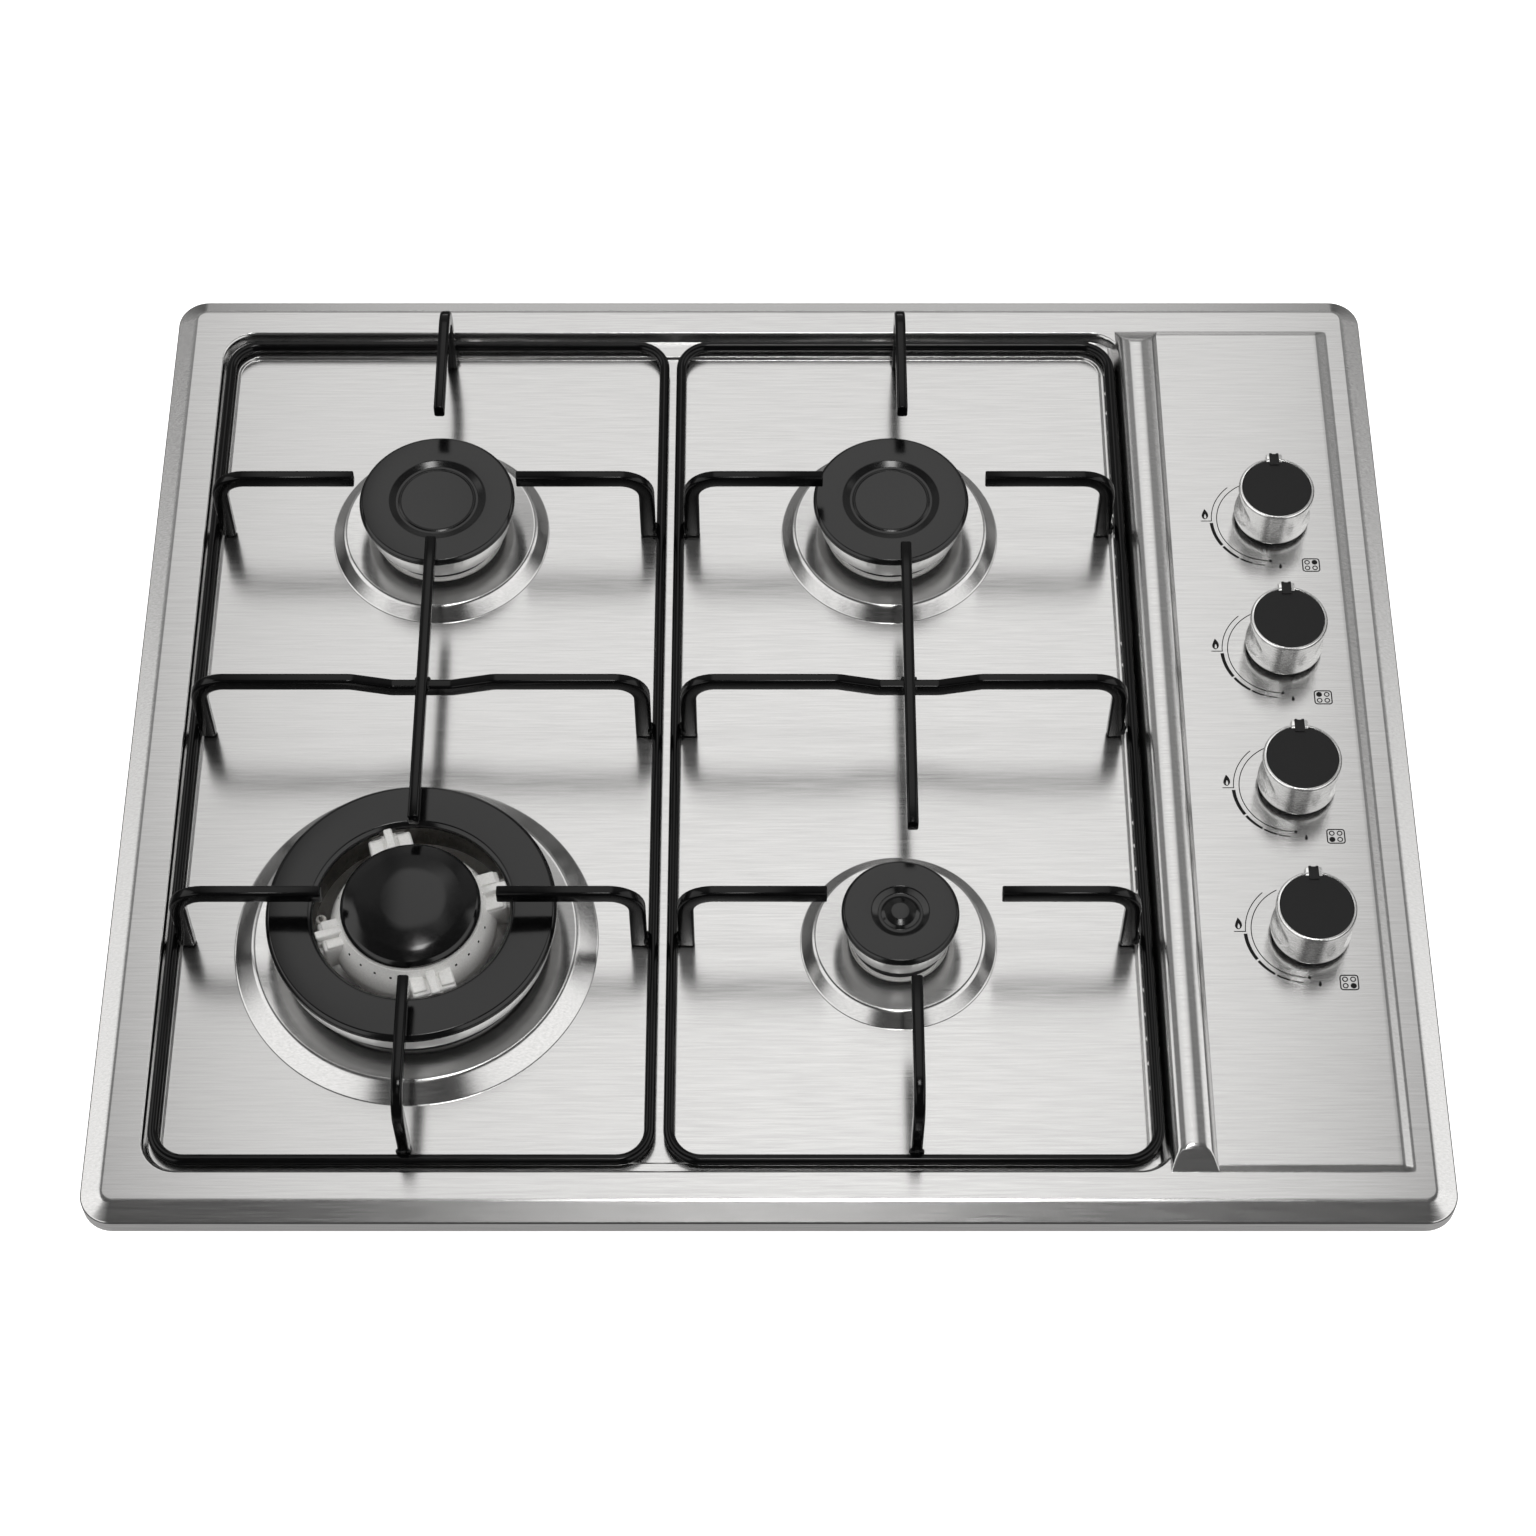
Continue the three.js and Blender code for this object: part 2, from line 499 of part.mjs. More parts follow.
const TAPS = ['rear_right', 'rear_left', 'wok', 'front_right'];
TAPS.forEach((name, i) => {
  const y = KNOB_Y[i];
  piece(`${name}_knob_shell`, turned([
    [0, 75.5], [4.5, 75.5], [4.5, 65], [7, 65], [7, 75.2], [16, 75.2], [15.9, 62], [17.2, 62],
    [17.7, 79.6], [17.3, 80.8], [16.7, 80.8], [16.7, 79.2], [0, 79.2],
  ], 18, KNOB_X, y), satinShell());
  const disc = solid(turned([[0, 79.5], [16.2, 79.5], [16.4, 81.2], [15.6, 81.9], [0, 82.2]], 16, KNOB_X, y));
  const tab = solid(box(KNOB_X - 2.6, KNOB_X + 2.6, y + 12.5, y + 19.6, 81.2, 83));
  piece(`${name}_knob_insert`, disc.add(tab), blackPlastic());
  // D-shaped stem, free to slide in the plug's slot
  const d = new THREE.Shape();
  d.absarc(0, 0, 4, THREE.MathUtils.degToRad(-50), THREE.MathUtils.degToRad(230), false);
  d.closePath();
  const stem = new THREE.ExtrudeGeometry(d, { depth: 75.2 - 47, bevelEnabled: false, curveSegments: 8 });
  stem.translate(KNOB_X, y, 47);
  piece(`${name}_tap_stem`, stem, brass());
  piece(`${name}_knob_seal`, turned([[5.6, 58.5], [15.5, 58.5], [15.5, 60.2], [14.2, 61.4], [5.6, 61.4]], 14, KNOB_X, y), rubber());
  piece(`${name}_tap_plug`, turned([[0, 32], [4.5, 32], [6.2, 43.5], [0, 43.5]], 8, KNOB_X, y), brass());
  let tap = union([
    solid(box(KNOB_X - 13, KNOB_X + 13, y - 12, y + 12, 27.4, 46)),
    solid(cyl(KNOB_X, y, 45.5, 50, 8.8, 12)),
    solid(new THREE.CylinderGeometry(5, 5, 6, 8).rotateZ(Math.PI / 2).translate(KNOB_X - 15, y, 36)),
  ]);
  tap = tap.subtract(solid(turned([[0, 31.6], [5.3, 31.6], [7.2, 43.9], [7.2, 51], [0, 51]], 8, KNOB_X, y)));
  piece(`${name}_tap_body`, tap, alu());
});

// ---- gas rail, inlet elbow and supply pipes

piece('gas_rail', bar([
  [KNOB_X, -132, RAIL_Z], [KNOB_X, 150, RAIL_Z], [KNOB_X, 156, RAIL_Z + 2.2], [KNOB_X, 172, RAIL_Z + 15.8],
  [KNOB_X, 177, RAIL_Z + 18], [KNOB_X, 182.6, RAIL_Z + 18],
], circle(RAIL_R, 8), [1, 0, 0]), alu());

let inlet = union([
  solid(cyl(INLET.x, INLET.y, 6, 46, 10.4, 16)),
  solid(new THREE.CylinderGeometry(13, 13, 8, 6).rotateX(Math.PI / 2).translate(INLET.x, INLET.y, 34)),
  solid(cylY(INLET.x, RAIL_Z + 18, 183, INLET.y, 8, 10)),
]);
inlet = minus(inlet, [
  solid(cyl(INLET.x, INLET.y, 4, 40, 7.4, 12)),
  solid(cylY(INLET.x, RAIL_Z + 18, 181, INLET.y, 4.5, 8)),
]);
piece('gas_inlet_elbow', inlet, brass());

const pipeRoutes = {
  rear_right: [[218.6, 112.8], [110, 112.8], [101, 111], [92, 108]],
  rear_left: [[218.6, 39.5], [-70, 39.5], [-82, 42.5], [-118, 78.5], [-126, 86.5]],
  wok: [[218.6, -35.2], [-60, -35.2], [-72, -38.2], [-106, -65.2], [-112, -73.2]],
  front_right: [[218.6, -111.1], [84, -111.1]],
};
for (const [k, route] of Object.entries(pipeRoutes)) {
  piece(`${k}_supply_pipe`, bar(route.map(([a, b]) => [a, b, 36]), circle(3.5, 6), [0, 0, 1]), alu());
}

// ---- ignition box and mains cable gland

let spark = solid(box(-75, -15, -20, 20, 1.2, 24));
spark = union([spark, ...[-62, -50, -38, -26].map((x) => solid(cyl(x, 0, 23.5, 29, 3, 8)))]);
piece('spark_generator', spark, blackPlastic());

let gland = union([
  solid(cyl(GLAND.x, GLAND.y, 9, 36, 6.8, 12)),
  solid(new THREE.CylinderGeometry(9.5, 9.5, 5, 6).rotateX(Math.PI / 2).translate(GLAND.x, GLAND.y, 24.9)),
]);
gland = gland.subtract(solid(cyl(GLAND.x, GLAND.y, 8, 38, 3.6, 8)));
piece('mains_cable_gland', gland, blackPlastic());

// ---- bottom tray: folded sheet with an inward flange, its rear right corner raised

const T = TRAY;
const outer = minus(solid(loft([
  roundRect(-T.x, T.x, -T.yLow, T.yLow, T.r, 0), roundRect(-T.x, T.x, -T.y, T.y, T.r, Z_WORKTOP),
  roundRect(-T.x, T.x, -T.y, T.y, T.r, T.top),
])), [solid(box(POCKET.x0, 300, POCKET.y0, 260, -5, POCKET.z))]);
const inner = minus(solid(loft([
  roundRect(-T.x + T.t, T.x - T.t, -T.yLow + T.t, T.yLow - T.t, T.r - T.t, T.t),
  roundRect(-T.x + T.t, T.x - T.t, -T.y + T.t, T.y - T.t, T.r - T.t, Z_WORKTOP),
  roundRect(-T.x + T.t, T.x - T.t, -T.y + T.t, T.y - T.t, T.r - T.t, T.top - T.t),
])), [solid(box(POCKET.x0 - T.t, 300, POCKET.y0 - T.t, 260, -5, POCKET.z + T.t))]);
const mouth = solid(loft([
  roundRect(-269, 275.6, -228.2, 228.2, 5, T.top - T.t - 1), roundRect(-269, 275.6, -228.2, 228.2, 5, T.top + 1),
]));
let tray = minus(outer, [
  inner, mouth,
  solid(cyl(INLET.x, INLET.y, 20, 40, 11, 14)),
  solid(cyl(GLAND.x, GLAND.y, 20, 40, 7.2, 10)),
]);
// ventilation slots along the floor
for (let k = 0; k < 6; k++) tray = tray.subtract(solid(box(-40 + k * 14, -35 + k * 14, 150, 190, -2, 3)));
piece('bottom_tray', tray, galvanised());

// ---- foam strip between the rim and the worktop

const S = { x0: 278.3, x1: 287.4, y0: 235.8, y1: 244.9 };
const foam = solid(loft([roundRect(-S.x1, S.x1, -S.y1, S.y1, 10, Z_WORKTOP), roundRect(-S.x1, S.x1, -S.y1, S.y1, 10, 51.6)]))
  .subtract(solid(loft([roundRect(-S.x0, S.x0, -S.y0, S.y0, 6, 44), roundRect(-S.x0, S.x0, -S.y0, S.y0, 6, 53)])));
piece('worktop_seal', foam, rubber());

// ---- clamps that grip the worktop's underside at the left and the right

for (const [name, s] of [['left_worktop_clamp', -1], ['right_worktop_clamp', 1]]) {
  const leg = box(Math.min(s * 277.3, s * 278.8), Math.max(s * 277.3, s * 278.8), -12, 12, 4, 15);
  const tongue = box(Math.min(s * 277.3, s * 288.9), Math.max(s * 277.3, s * 288.9), -12, 12, 13.4, 15);
  piece(name, solid(leg).add(solid(tongue)), galvanised());
}

export default root;
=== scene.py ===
import bmesh
import bpy
import math
import random

import numpy as np
from mathutils import Matrix, Vector
from mathutils.geometry import delaunay_2d_cdt


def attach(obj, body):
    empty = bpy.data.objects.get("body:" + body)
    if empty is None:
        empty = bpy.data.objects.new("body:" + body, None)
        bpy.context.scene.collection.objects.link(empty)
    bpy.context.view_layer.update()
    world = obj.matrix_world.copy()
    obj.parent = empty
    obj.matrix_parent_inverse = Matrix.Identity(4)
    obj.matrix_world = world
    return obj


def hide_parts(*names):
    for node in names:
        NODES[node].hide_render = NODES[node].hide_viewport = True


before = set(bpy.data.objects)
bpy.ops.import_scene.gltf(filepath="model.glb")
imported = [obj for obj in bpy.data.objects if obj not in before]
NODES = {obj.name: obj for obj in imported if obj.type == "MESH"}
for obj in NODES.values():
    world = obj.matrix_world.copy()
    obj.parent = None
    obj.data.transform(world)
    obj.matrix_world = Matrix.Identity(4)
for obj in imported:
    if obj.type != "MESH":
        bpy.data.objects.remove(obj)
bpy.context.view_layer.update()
scene = bpy.context.scene
rnd = random.Random(7)
MM = 0.001


def rad(a):
    return math.radians(a)


# ---------------------------------------------------------------- materials

def coords(nt, stretch=(1, 1, 1), turn=(0, 0, 0)):
    tc = nt.nodes.new("ShaderNodeTexCoord")
    mp = nt.nodes.new("ShaderNodeMapping")
    mp.inputs["Scale"].default_value = stretch
    mp.inputs["Rotation"].default_value = turn
    nt.links.new(tc.outputs["Object"], mp.inputs["Vector"])
    return mp.outputs["Vector"]


def noise(nt, vec, scale, detail=3.0, rough=0.55):
    n = nt.nodes.new("ShaderNodeTexNoise")
    n.inputs["Scale"].default_value = scale
    n.inputs["Detail"].default_value = detail
    n.inputs["Roughness"].default_value = rough
    nt.links.new(vec, n.inputs["Vector"])
    return n.outputs["Fac"]


def remap(nt, value, lo, hi, a=0.3, b=0.7):
    m = nt.nodes.new("ShaderNodeMapRange")
    m.inputs["From Min"].default_value = a
    m.inputs["From Max"].default_value = b
    m.inputs["To Min"].default_value = lo
    m.inputs["To Max"].default_value = hi
    nt.links.new(value, m.inputs["Value"])
    return m.outputs["Result"]


def scaled(nt, colour, value):
    m = nt.nodes.new("ShaderNodeVectorMath")
    m.operation = "SCALE"
    m.inputs[0].default_value = colour
    nt.links.new(value, m.inputs["Scale"])
    return m.outputs["Vector"]


def material(name, colour, metallic=0.0, rough=0.5, ior=1.5, spec=0.5, coat=0.0, coat_rough=0.05, aniso=0.0,
             tangent=None, cvar=0.04, rvar=0.05, stretch=(1, 1, 1), scale=400.0, detail=3.0, bump=0.0,
             bump_scale=900.0, bump_stretch=None, bump_depth=0.02, lean=0.0):
    m = bpy.data.materials.new(name)
    m.use_nodes = True
    nt = m.node_tree
    b = nt.nodes["Principled BSDF"]
    b.inputs["Metallic"].default_value = metallic
    b.inputs["IOR"].default_value = ior
    b.inputs["Specular IOR Level"].default_value = spec
    b.inputs["Coat Weight"].default_value = coat
    b.inputs["Coat Roughness"].default_value = coat_rough
    b.inputs["Anisotropic"].default_value = aniso
    vec = coords(nt, stretch)
    fine = noise(nt, vec, scale, detail)
    shade = remap(nt, fine, 1 - cvar, 1 + cvar)
    nt.links.new(scaled(nt, colour, shade), b.inputs["Base Color"])
    nt.links.new(remap(nt, fine, max(0.01, rough - rvar), rough + rvar), b.inputs["Roughness"])
    if tangent == "Z":
        t = nt.nodes.new("ShaderNodeTangent")
        t.direction_type = "RADIAL"
        t.axis = "Z"
        nt.links.new(t.outputs["Tangent"], b.inputs["Tangent"])
    elif tangent is not None:
        t = nt.nodes.new("ShaderNodeCombineXYZ")
        for i, c in enumerate("XYZ"):
            t.inputs[c].default_value = tangent[i]
        nt.links.new(t.outputs["Vector"], b.inputs["Tangent"])
    if lean:
        geo = nt.nodes.new("ShaderNodeNewGeometry")
        add = nt.nodes.new("ShaderNodeVectorMath")
        add.operation = "ADD"
        add.inputs[1].default_value = (0, 0, lean)
        unit = nt.nodes.new("ShaderNodeVectorMath")
        unit.operation = "NORMALIZE"
        nt.links.new(geo.outputs["Normal"], add.inputs[0])
        nt.links.new(add.outputs["Vector"], unit.inputs[0])
        nt.links.new(unit.outputs["Vector"], b.inputs["Normal"])
    elif bump:
        bn = nt.nodes.new("ShaderNodeBump")
        bn.inputs["Strength"].default_value = bump
        bn.inputs["Distance"].default_value = bump_depth * MM
        nt.links.new(noise(nt, coords(nt, bump_stretch or stretch), bump_scale, 4.0), bn.inputs["Height"])
        nt.links.new(bn.outputs["Normal"], b.inputs["Normal"])
    return m


M_STEEL = material("brushed_steel", (0.592, 0.589, 0.587), 1.0, 0.205, aniso=0.8, tangent=(0, 1, 0), cvar=0.08,
                   rvar=0.02, stretch=(0.03, 1, 1), scale=1500, detail=3)
M_ENAMEL = material("support_enamel", (0.002, 0.002, 0.0022), 0.0, 0.13, spec=0.22, cvar=0.3, rvar=0.03,
                    scale=300, bump=0.15, bump_scale=260, bump_depth=0.03)
M_CAP = material("cap_enamel", (0.004, 0.004, 0.0042), 0.0, 0.17, spec=0.48, cvar=0.25, rvar=0.02,
                 scale=500, bump=0.1, bump_scale=700, bump_depth=0.006)
M_DOME = material("cap_enamel_gloss", (0.003, 0.003, 0.0032), 0.0, 0.135, spec=0.45, cvar=0.25, rvar=0.02,
                  scale=500, bump=0.05, bump_scale=500, bump_depth=0.004)
M_CROWN = material("machined_aluminium", (0.93, 0.93, 0.92), 0.6, 0.2, cvar=0.04, rvar=0.03,
                   stretch=(1, 1, 6), scale=700, lean=0.14)
M_CAST = material("cast_aluminium", (0.92, 0.915, 0.90), 0.1, 0.5, cvar=0.06, rvar=0.06, scale=1300, bump=0.3,
                  bump_scale=1100, bump_depth=0.05)
M_CERAMIC = material("electrode_ceramic", (0.82, 0.80, 0.76), 0.0, 0.28, cvar=0.03, rvar=0.05, scale=600, bump=0.1)
M_PIN = material("electrode_pin", (0.34, 0.33, 0.32), 1.0, 0.3, cvar=0.1, rvar=0.05, scale=1500)
M_BRASS = material("brass", (0.72, 0.52, 0.25), 1.0, 0.3, cvar=0.06, rvar=0.06, scale=500, bump=0.15)
M_SATIN = material("satin_shell", (0.88, 0.88, 0.875), 1.0, 0.27, cvar=0.012, rvar=0.006,
                   stretch=(1, 1, 14), scale=500, lean=0.1)
M_INSERT = material("knob_black", (0.016, 0.016, 0.0165), 0.0, 0.5, spec=0.22, cvar=0.08, rvar=0.05, scale=1500, bump=0.15,
                    bump_scale=2600, bump_depth=0.01)
M_RUBBER = material("seal_rubber", (0.008, 0.008, 0.008), 0.0, 0.55, spec=0.3, cvar=0.12, rvar=0.06, scale=900, bump=0.1,
                    bump_scale=1500, bump_depth=0.01)
M_TAP = material("tap_aluminium", (0.62, 0.63, 0.63), 1.0, 0.38, cvar=0.07, rvar=0.07, scale=500, bump=0.3, bump_depth=0.04)
M_HOUSING = material("housing_black", (0.012, 0.012, 0.012), 0.0, 0.5, spec=0.25, cvar=0.12, rvar=0.06, scale=900, bump=0.2)
M_ZINC = material("galvanised_steel", (0.55, 0.57, 0.58), 1.0, 0.42, cvar=0.16, rvar=0.1, scale=55, detail=2, bump=0.15,
                  bump_scale=200)
M_PRINT = material("printed_marks", (0.012, 0.012, 0.012), 0.0, 0.5, spec=0.15, cvar=0.1, rvar=0.05, scale=1500)

# ---------------------------------------------------------------- mesh helpers


class Buf:
    """Vertices in mm and faces of one piece, with the number of each face's material."""

    def __init__(self):
        self.v, self.f, self.m, self.n = [], [], [], 0

    def add(self, verts, faces, mat=0):
        verts = np.asarray(verts, float).reshape(-1, 3)
        self.v.append(verts)
        self.f += [tuple(int(i) + self.n for i in f) for f in faces]
        self.m += [mat] * len(faces)
        self.n += len(verts)
        return self

    def put(self, name, body, slot, mats, replaces=(), angle=38, weighted=False):
        me = bpy.data.meshes.new(name)
        me.from_pydata([tuple(p) for p in np.vstack(self.v) * MM], [], self.f)
        for m in (mats if isinstance(mats, (list, tuple)) else [mats]):
            me.materials.append(m)
        me.polygons.foreach_set("material_index", self.m)
        me.update()
        me.shade_smooth()
        me.set_sharp_from_angle(angle=rad(angle))
        return place(name, me, body, replaces, weighted)


def place(name, me, body, replaces=(), weighted=False):
    o = bpy.data.objects.new(name, me)
    scene.collection.objects.link(o)
    if weighted:
        w = o.modifiers.new("weighted", "WEIGHTED_NORMAL")
        w.keep_sharp = True
    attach(o, body)
    if replaces:
        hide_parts(*([replaces] if isinstance(replaces, str) else replaces))
    return o


def rounded(points, radii, n=4, closed=False):
    """A polyline with its corners turned into arcs. radii is one number or one per point."""
    p = [np.array(q, float) for q in points]
    if not hasattr(radii, "__len__"):
        radii = [radii] * len(p)
    out = []
    for i, q in enumerate(p):
        r = radii[i]
        if not closed and i in (0, len(p) - 1) or r <= 0:
            out.append(q)
            continue
        a, b = p[i - 1] - q, p[(i + 1) % len(p)] - q
        la, lb = np.linalg.norm(a), np.linalg.norm(b)
        a, b = a / la, b / lb
        c = float(np.clip(a @ b, -1, 1))
        half = math.acos(c) / 2
        if half > math.pi / 2 - 0.02:
            out.append(q)
            continue
        t = min(r / math.tan(half), 0.47 * la, 0.47 * lb)
        rr = t * math.tan(half)
        mid = (a + b) / np.linalg.norm(a + b)
        centre = q + mid * (rr / math.sin(half))
        s, e = q + a * t - centre, q + b * t - centre
        sweep_angle = math.pi - 2 * half
        k = max(2, int(round(n * sweep_angle / (math.pi / 2))) + 1)
        for j in range(k + 1):
            f = j / k
            v = s * math.sin((1 - f) * sweep_angle) + e * math.sin(f * sweep_angle)
            out.append(centre + v / math.sin(sweep_angle))
    return np.array(out)


def turned(profile, cx, cy, n=96, closed=None, shape=None):
    """A profile of (r, z) points turned round a vertical axis. shape(r, a, z) may move the points."""
    prof = np.asarray(profile, float)
    if closed is None:
        closed = prof[0][0] > 1e-6 or prof[-1][0] > 1e-6
    verts, rows = [], []
    for r, z in prof:
        if r < 1e-6:
            rows.append([len(verts)] * n)
            verts.append((cx, cy, z))
        else:
            rows.append(list(range(len(verts), len(verts) + n)))
            for j in range(n):
                a = 2 * math.pi * j / n
                rr, zz = (r, z) if shape is None else shape(r, a, z)
                verts.append((cx + rr * math.cos(a), cy + rr * math.sin(a), zz))
    faces = []
    count = len(rows) if closed else len(rows) - 1
    for i in range(count):
        A, B = rows[i], rows[(i + 1) % len(rows)]
        for j in range(n):
            k = (j + 1) % n
            f = [A[j], A[k], B[k], B[j]]
            f = [x for t, x in enumerate(f) if x != f[t - 1]]
            if len(f) > 2:
                faces.append(f)
    return verts, faces


def square(w, r, n=3):
    out = []
    for cx, cy, a0 in ((1, 1, 0), (-1, 1, 90), (-1, -1, 180), (1, -1, 270)):
        for k in range(n + 1):
            a = rad(a0 + 90 * k / n)
            out.append((cx * (w / 2 - r) + r * math.cos(a), cy * (w / 2 - r) + r * math.sin(a)))
    return np.array(out)


def circle(r, n=16):
    return np.array([(r * math.cos(2 * math.pi * k / n), r * math.sin(2 * math.pi * k / n)) for k in range(n)])


def sweep(path, section, side, closed=False, bevel=0.0):
    """A section swept along a path; side is the direction of the section's first axis."""
    p = np.asarray(path, float)
    side = np.asarray(side, float)
    n = len(p)
    tang = []
    for i in range(n):
        a = p[(i - 1) % n] if closed or i > 0 else p[i]
        b = p[(i + 1) % n] if closed or i < n - 1 else p[i]
        d1 = p[i] - a
        d2 = b - p[i]
        t = np.zeros(3)
        for d in (d1, d2):
            if np.linalg.norm(d) > 1e-9:
                t = t + d / np.linalg.norm(d)
        tang.append(t / np.linalg.norm(t))
    rings = []

    def ring(at, t, k=1.0, width=0.0):
        u = side - t * (side @ t)
        u = u / np.linalg.norm(u)
        w = np.cross(t, u)
        s = section.copy()
        if width:
            lim = np.abs(s).max() - width
            s = s * (lim / np.abs(s).max())
        return [at + u * a + w * b for a, b in s]

    for i in range(n):
        if bevel and not closed and i == 0:
            rings.append(ring(p[0], tang[0], width=bevel))
            rings.append(ring(p[0] + tang[0] * bevel * 0.3, tang[0], width=bevel * 0.3))
            rings.append(ring(p[0] + tang[0] * bevel, tang[0]))
        elif bevel and not closed and i == n - 1:
            rings.append(ring(p[-1] - tang[-1] * bevel, tang[-1]))
            rings.append(ring(p[-1] - tang[-1] * bevel * 0.3, tang[-1], width=bevel * 0.3))
            rings.append(ring(p[-1], tang[-1], width=bevel))
        else:
            rings.append(ring(p[i], tang[i]))
    m = len(section)
    verts = [v for r in rings for v in r]
    faces = []
    for i in range(len(rings) if closed else len(rings) - 1):
        j = (i + 1) % len(rings)
        for k in range(m):
            l = (k + 1) % m
            faces.append((i * m + k, i * m + l, j * m + l, j * m + k))
    if not closed:
        faces.append(tuple(range(m))[::-1])
        faces.append(tuple((len(rings) - 1) * m + k for k in range(m)))
    return verts, faces


def box(size, bevel, matrix, segments=3):
    bm = bmesh.new()
    bmesh.ops.create_cube(bm, size=1.0)
    bmesh.ops.scale(bm, vec=Vector(size), verts=bm.verts)
    bmesh.ops.bevel(bm, geom=list(bm.edges), offset=bevel, segments=segments, profile=0.5, affect="EDGES", clamp_overlap=True)
    bmesh.ops.transform(bm, matrix=matrix, verts=bm.verts)
    bm.verts.ensure_lookup_table()
    verts = [tuple(v.co) for v in bm.verts]
    faces = [tuple(v.index for v in f.verts) for f in bm.faces]
    bm.free()
    return verts, faces


def bead(at, size, seed, turn=0.0):
    """A small lump of weld metal."""
    r = random.Random(seed)
    bm = bmesh.new()
    bmesh.ops.create_icosphere(bm, subdivisions=2, radius=1.0)
    ph = [r.uniform(0, 6.28) for _ in range(4)]
    for v in bm.verts:
        c = v.co
        k = 1 + 0.12 * math.sin(3 * c.x + ph[0]) * math.cos(2.5 * c.y + ph[1]) + 0.1 * math.sin(4 * c.z + ph[2])
        v.co = c * k
    bmesh.ops.transform(bm, matrix=Matrix.Translation(Vector(at)) @ Matrix.Rotation(turn, 4, "Z")
                        @ Matrix.Diagonal((*size, 1.0)), verts=bm.verts)
    verts = [tuple(v.co) for v in bm.verts]
    faces = [tuple(v.index for v in f.verts) for f in bm.faces]
    bm.free()
    return verts, faces


# ---------------------------------------------------------------- the pressed top

T_X, T_Y, CORNER = 290.0, 247.5, 14.0
WELL = (-265.5, 172.0, -225.3, 224.8, 15.0)
LEDGE = (-258.2, 161.6, -219.6, 213.7, 10.7)
Z_TOP, Z_LEDGE, Z_FLOOR, Z_PANEL = 57.0, 52.5, 51.1, 58.2
BURNERS = {
    "rear_left": dict(x=-154.7, y=108.0, rim=50.6, run=5.6, top=57.2, hole=29.4, low=55.9),
    "rear_right": dict(x=57.0, y=108.0, rim=50.6, run=5.6, top=57.2, hole=29.4, low=55.9),
    "wok": dict(x=-154.7, y=-112.2, rim=79.6, run=8.7, top=57.8, hole=53.4, low=56.2),
    "front_right": dict(x=57.0, y=-112.2, rim=42.9, run=5.6, top=57.0, hole=21.4, low=55.9),
}
ELECTRODES = {"rear_left": (90, 36.9), "rear_right": (90, 36.9), "wok": (182, 39.6), "front_right": (90, 27.9)}
KNOB_X = 237.0
KNOB_Y = {"rear_right": 112.8, "rear_left": 39.5, "wok": -35.2, "front_right": -111.1}
HOLES = [(b["x"], b["y"], b["hole"]) for b in BURNERS.values()]
HOLES += [(KNOB_X, y, 5.2) for y in KNOB_Y.values()]
EL_POS = {}
for k, (a, r) in ELECTRODES.items():
    b = BURNERS[k]
    EL_POS[k] = (b["x"] + r * math.cos(rad(a)), b["y"] + r * math.sin(rad(a)))
    if r > b["hole"]:
        HOLES.append((*EL_POS[k], 3.3))


def ramp(t, w):
    return np.where(t <= -w, 0.0, np.where(t >= w, t, (t + w) ** 2 / (4 * w)))


def inside(x, y, x0, x1, y0, y1, r):
    """Distance inwards from the edge of a rounded rectangle."""
    qx = np.abs(x - (x0 + x1) / 2) - ((x1 - x0) / 2 - r)
    qy = np.abs(y - (y0 + y1) / 2) - ((y1 - y0) / 2 - r)
    return -(np.hypot(np.maximum(qx, 0), np.maximum(qy, 0)) + np.minimum(np.maximum(qx, qy), 0) - r)


def step(t, run, w0, w1):
    """0 to 1 over run, with rounded ends."""
    return (ramp(t, w0) - ramp(t - run, w1)) / run


PANEL_RUN, PANEL_RUN_Y = 4.2, 2.9
RIDGE = np.array([(165.6, 52.4), (167.0, 53.2), (168.6, 55.4), (170.9, 59.4), (172.9, 61.6), (174.8, 62.35), (177.0, 62.75), (179.8, 62.9),
                  (182.6, 62.7), (185.2, 62.05), (187.1, 60.95), (188.2, 59.7), (189.0, 58.5), (189.6, 57.6), (190.6, 56.0)])
RIDGE_M = np.gradient(RIDGE[:, 1], RIDGE[:, 0])


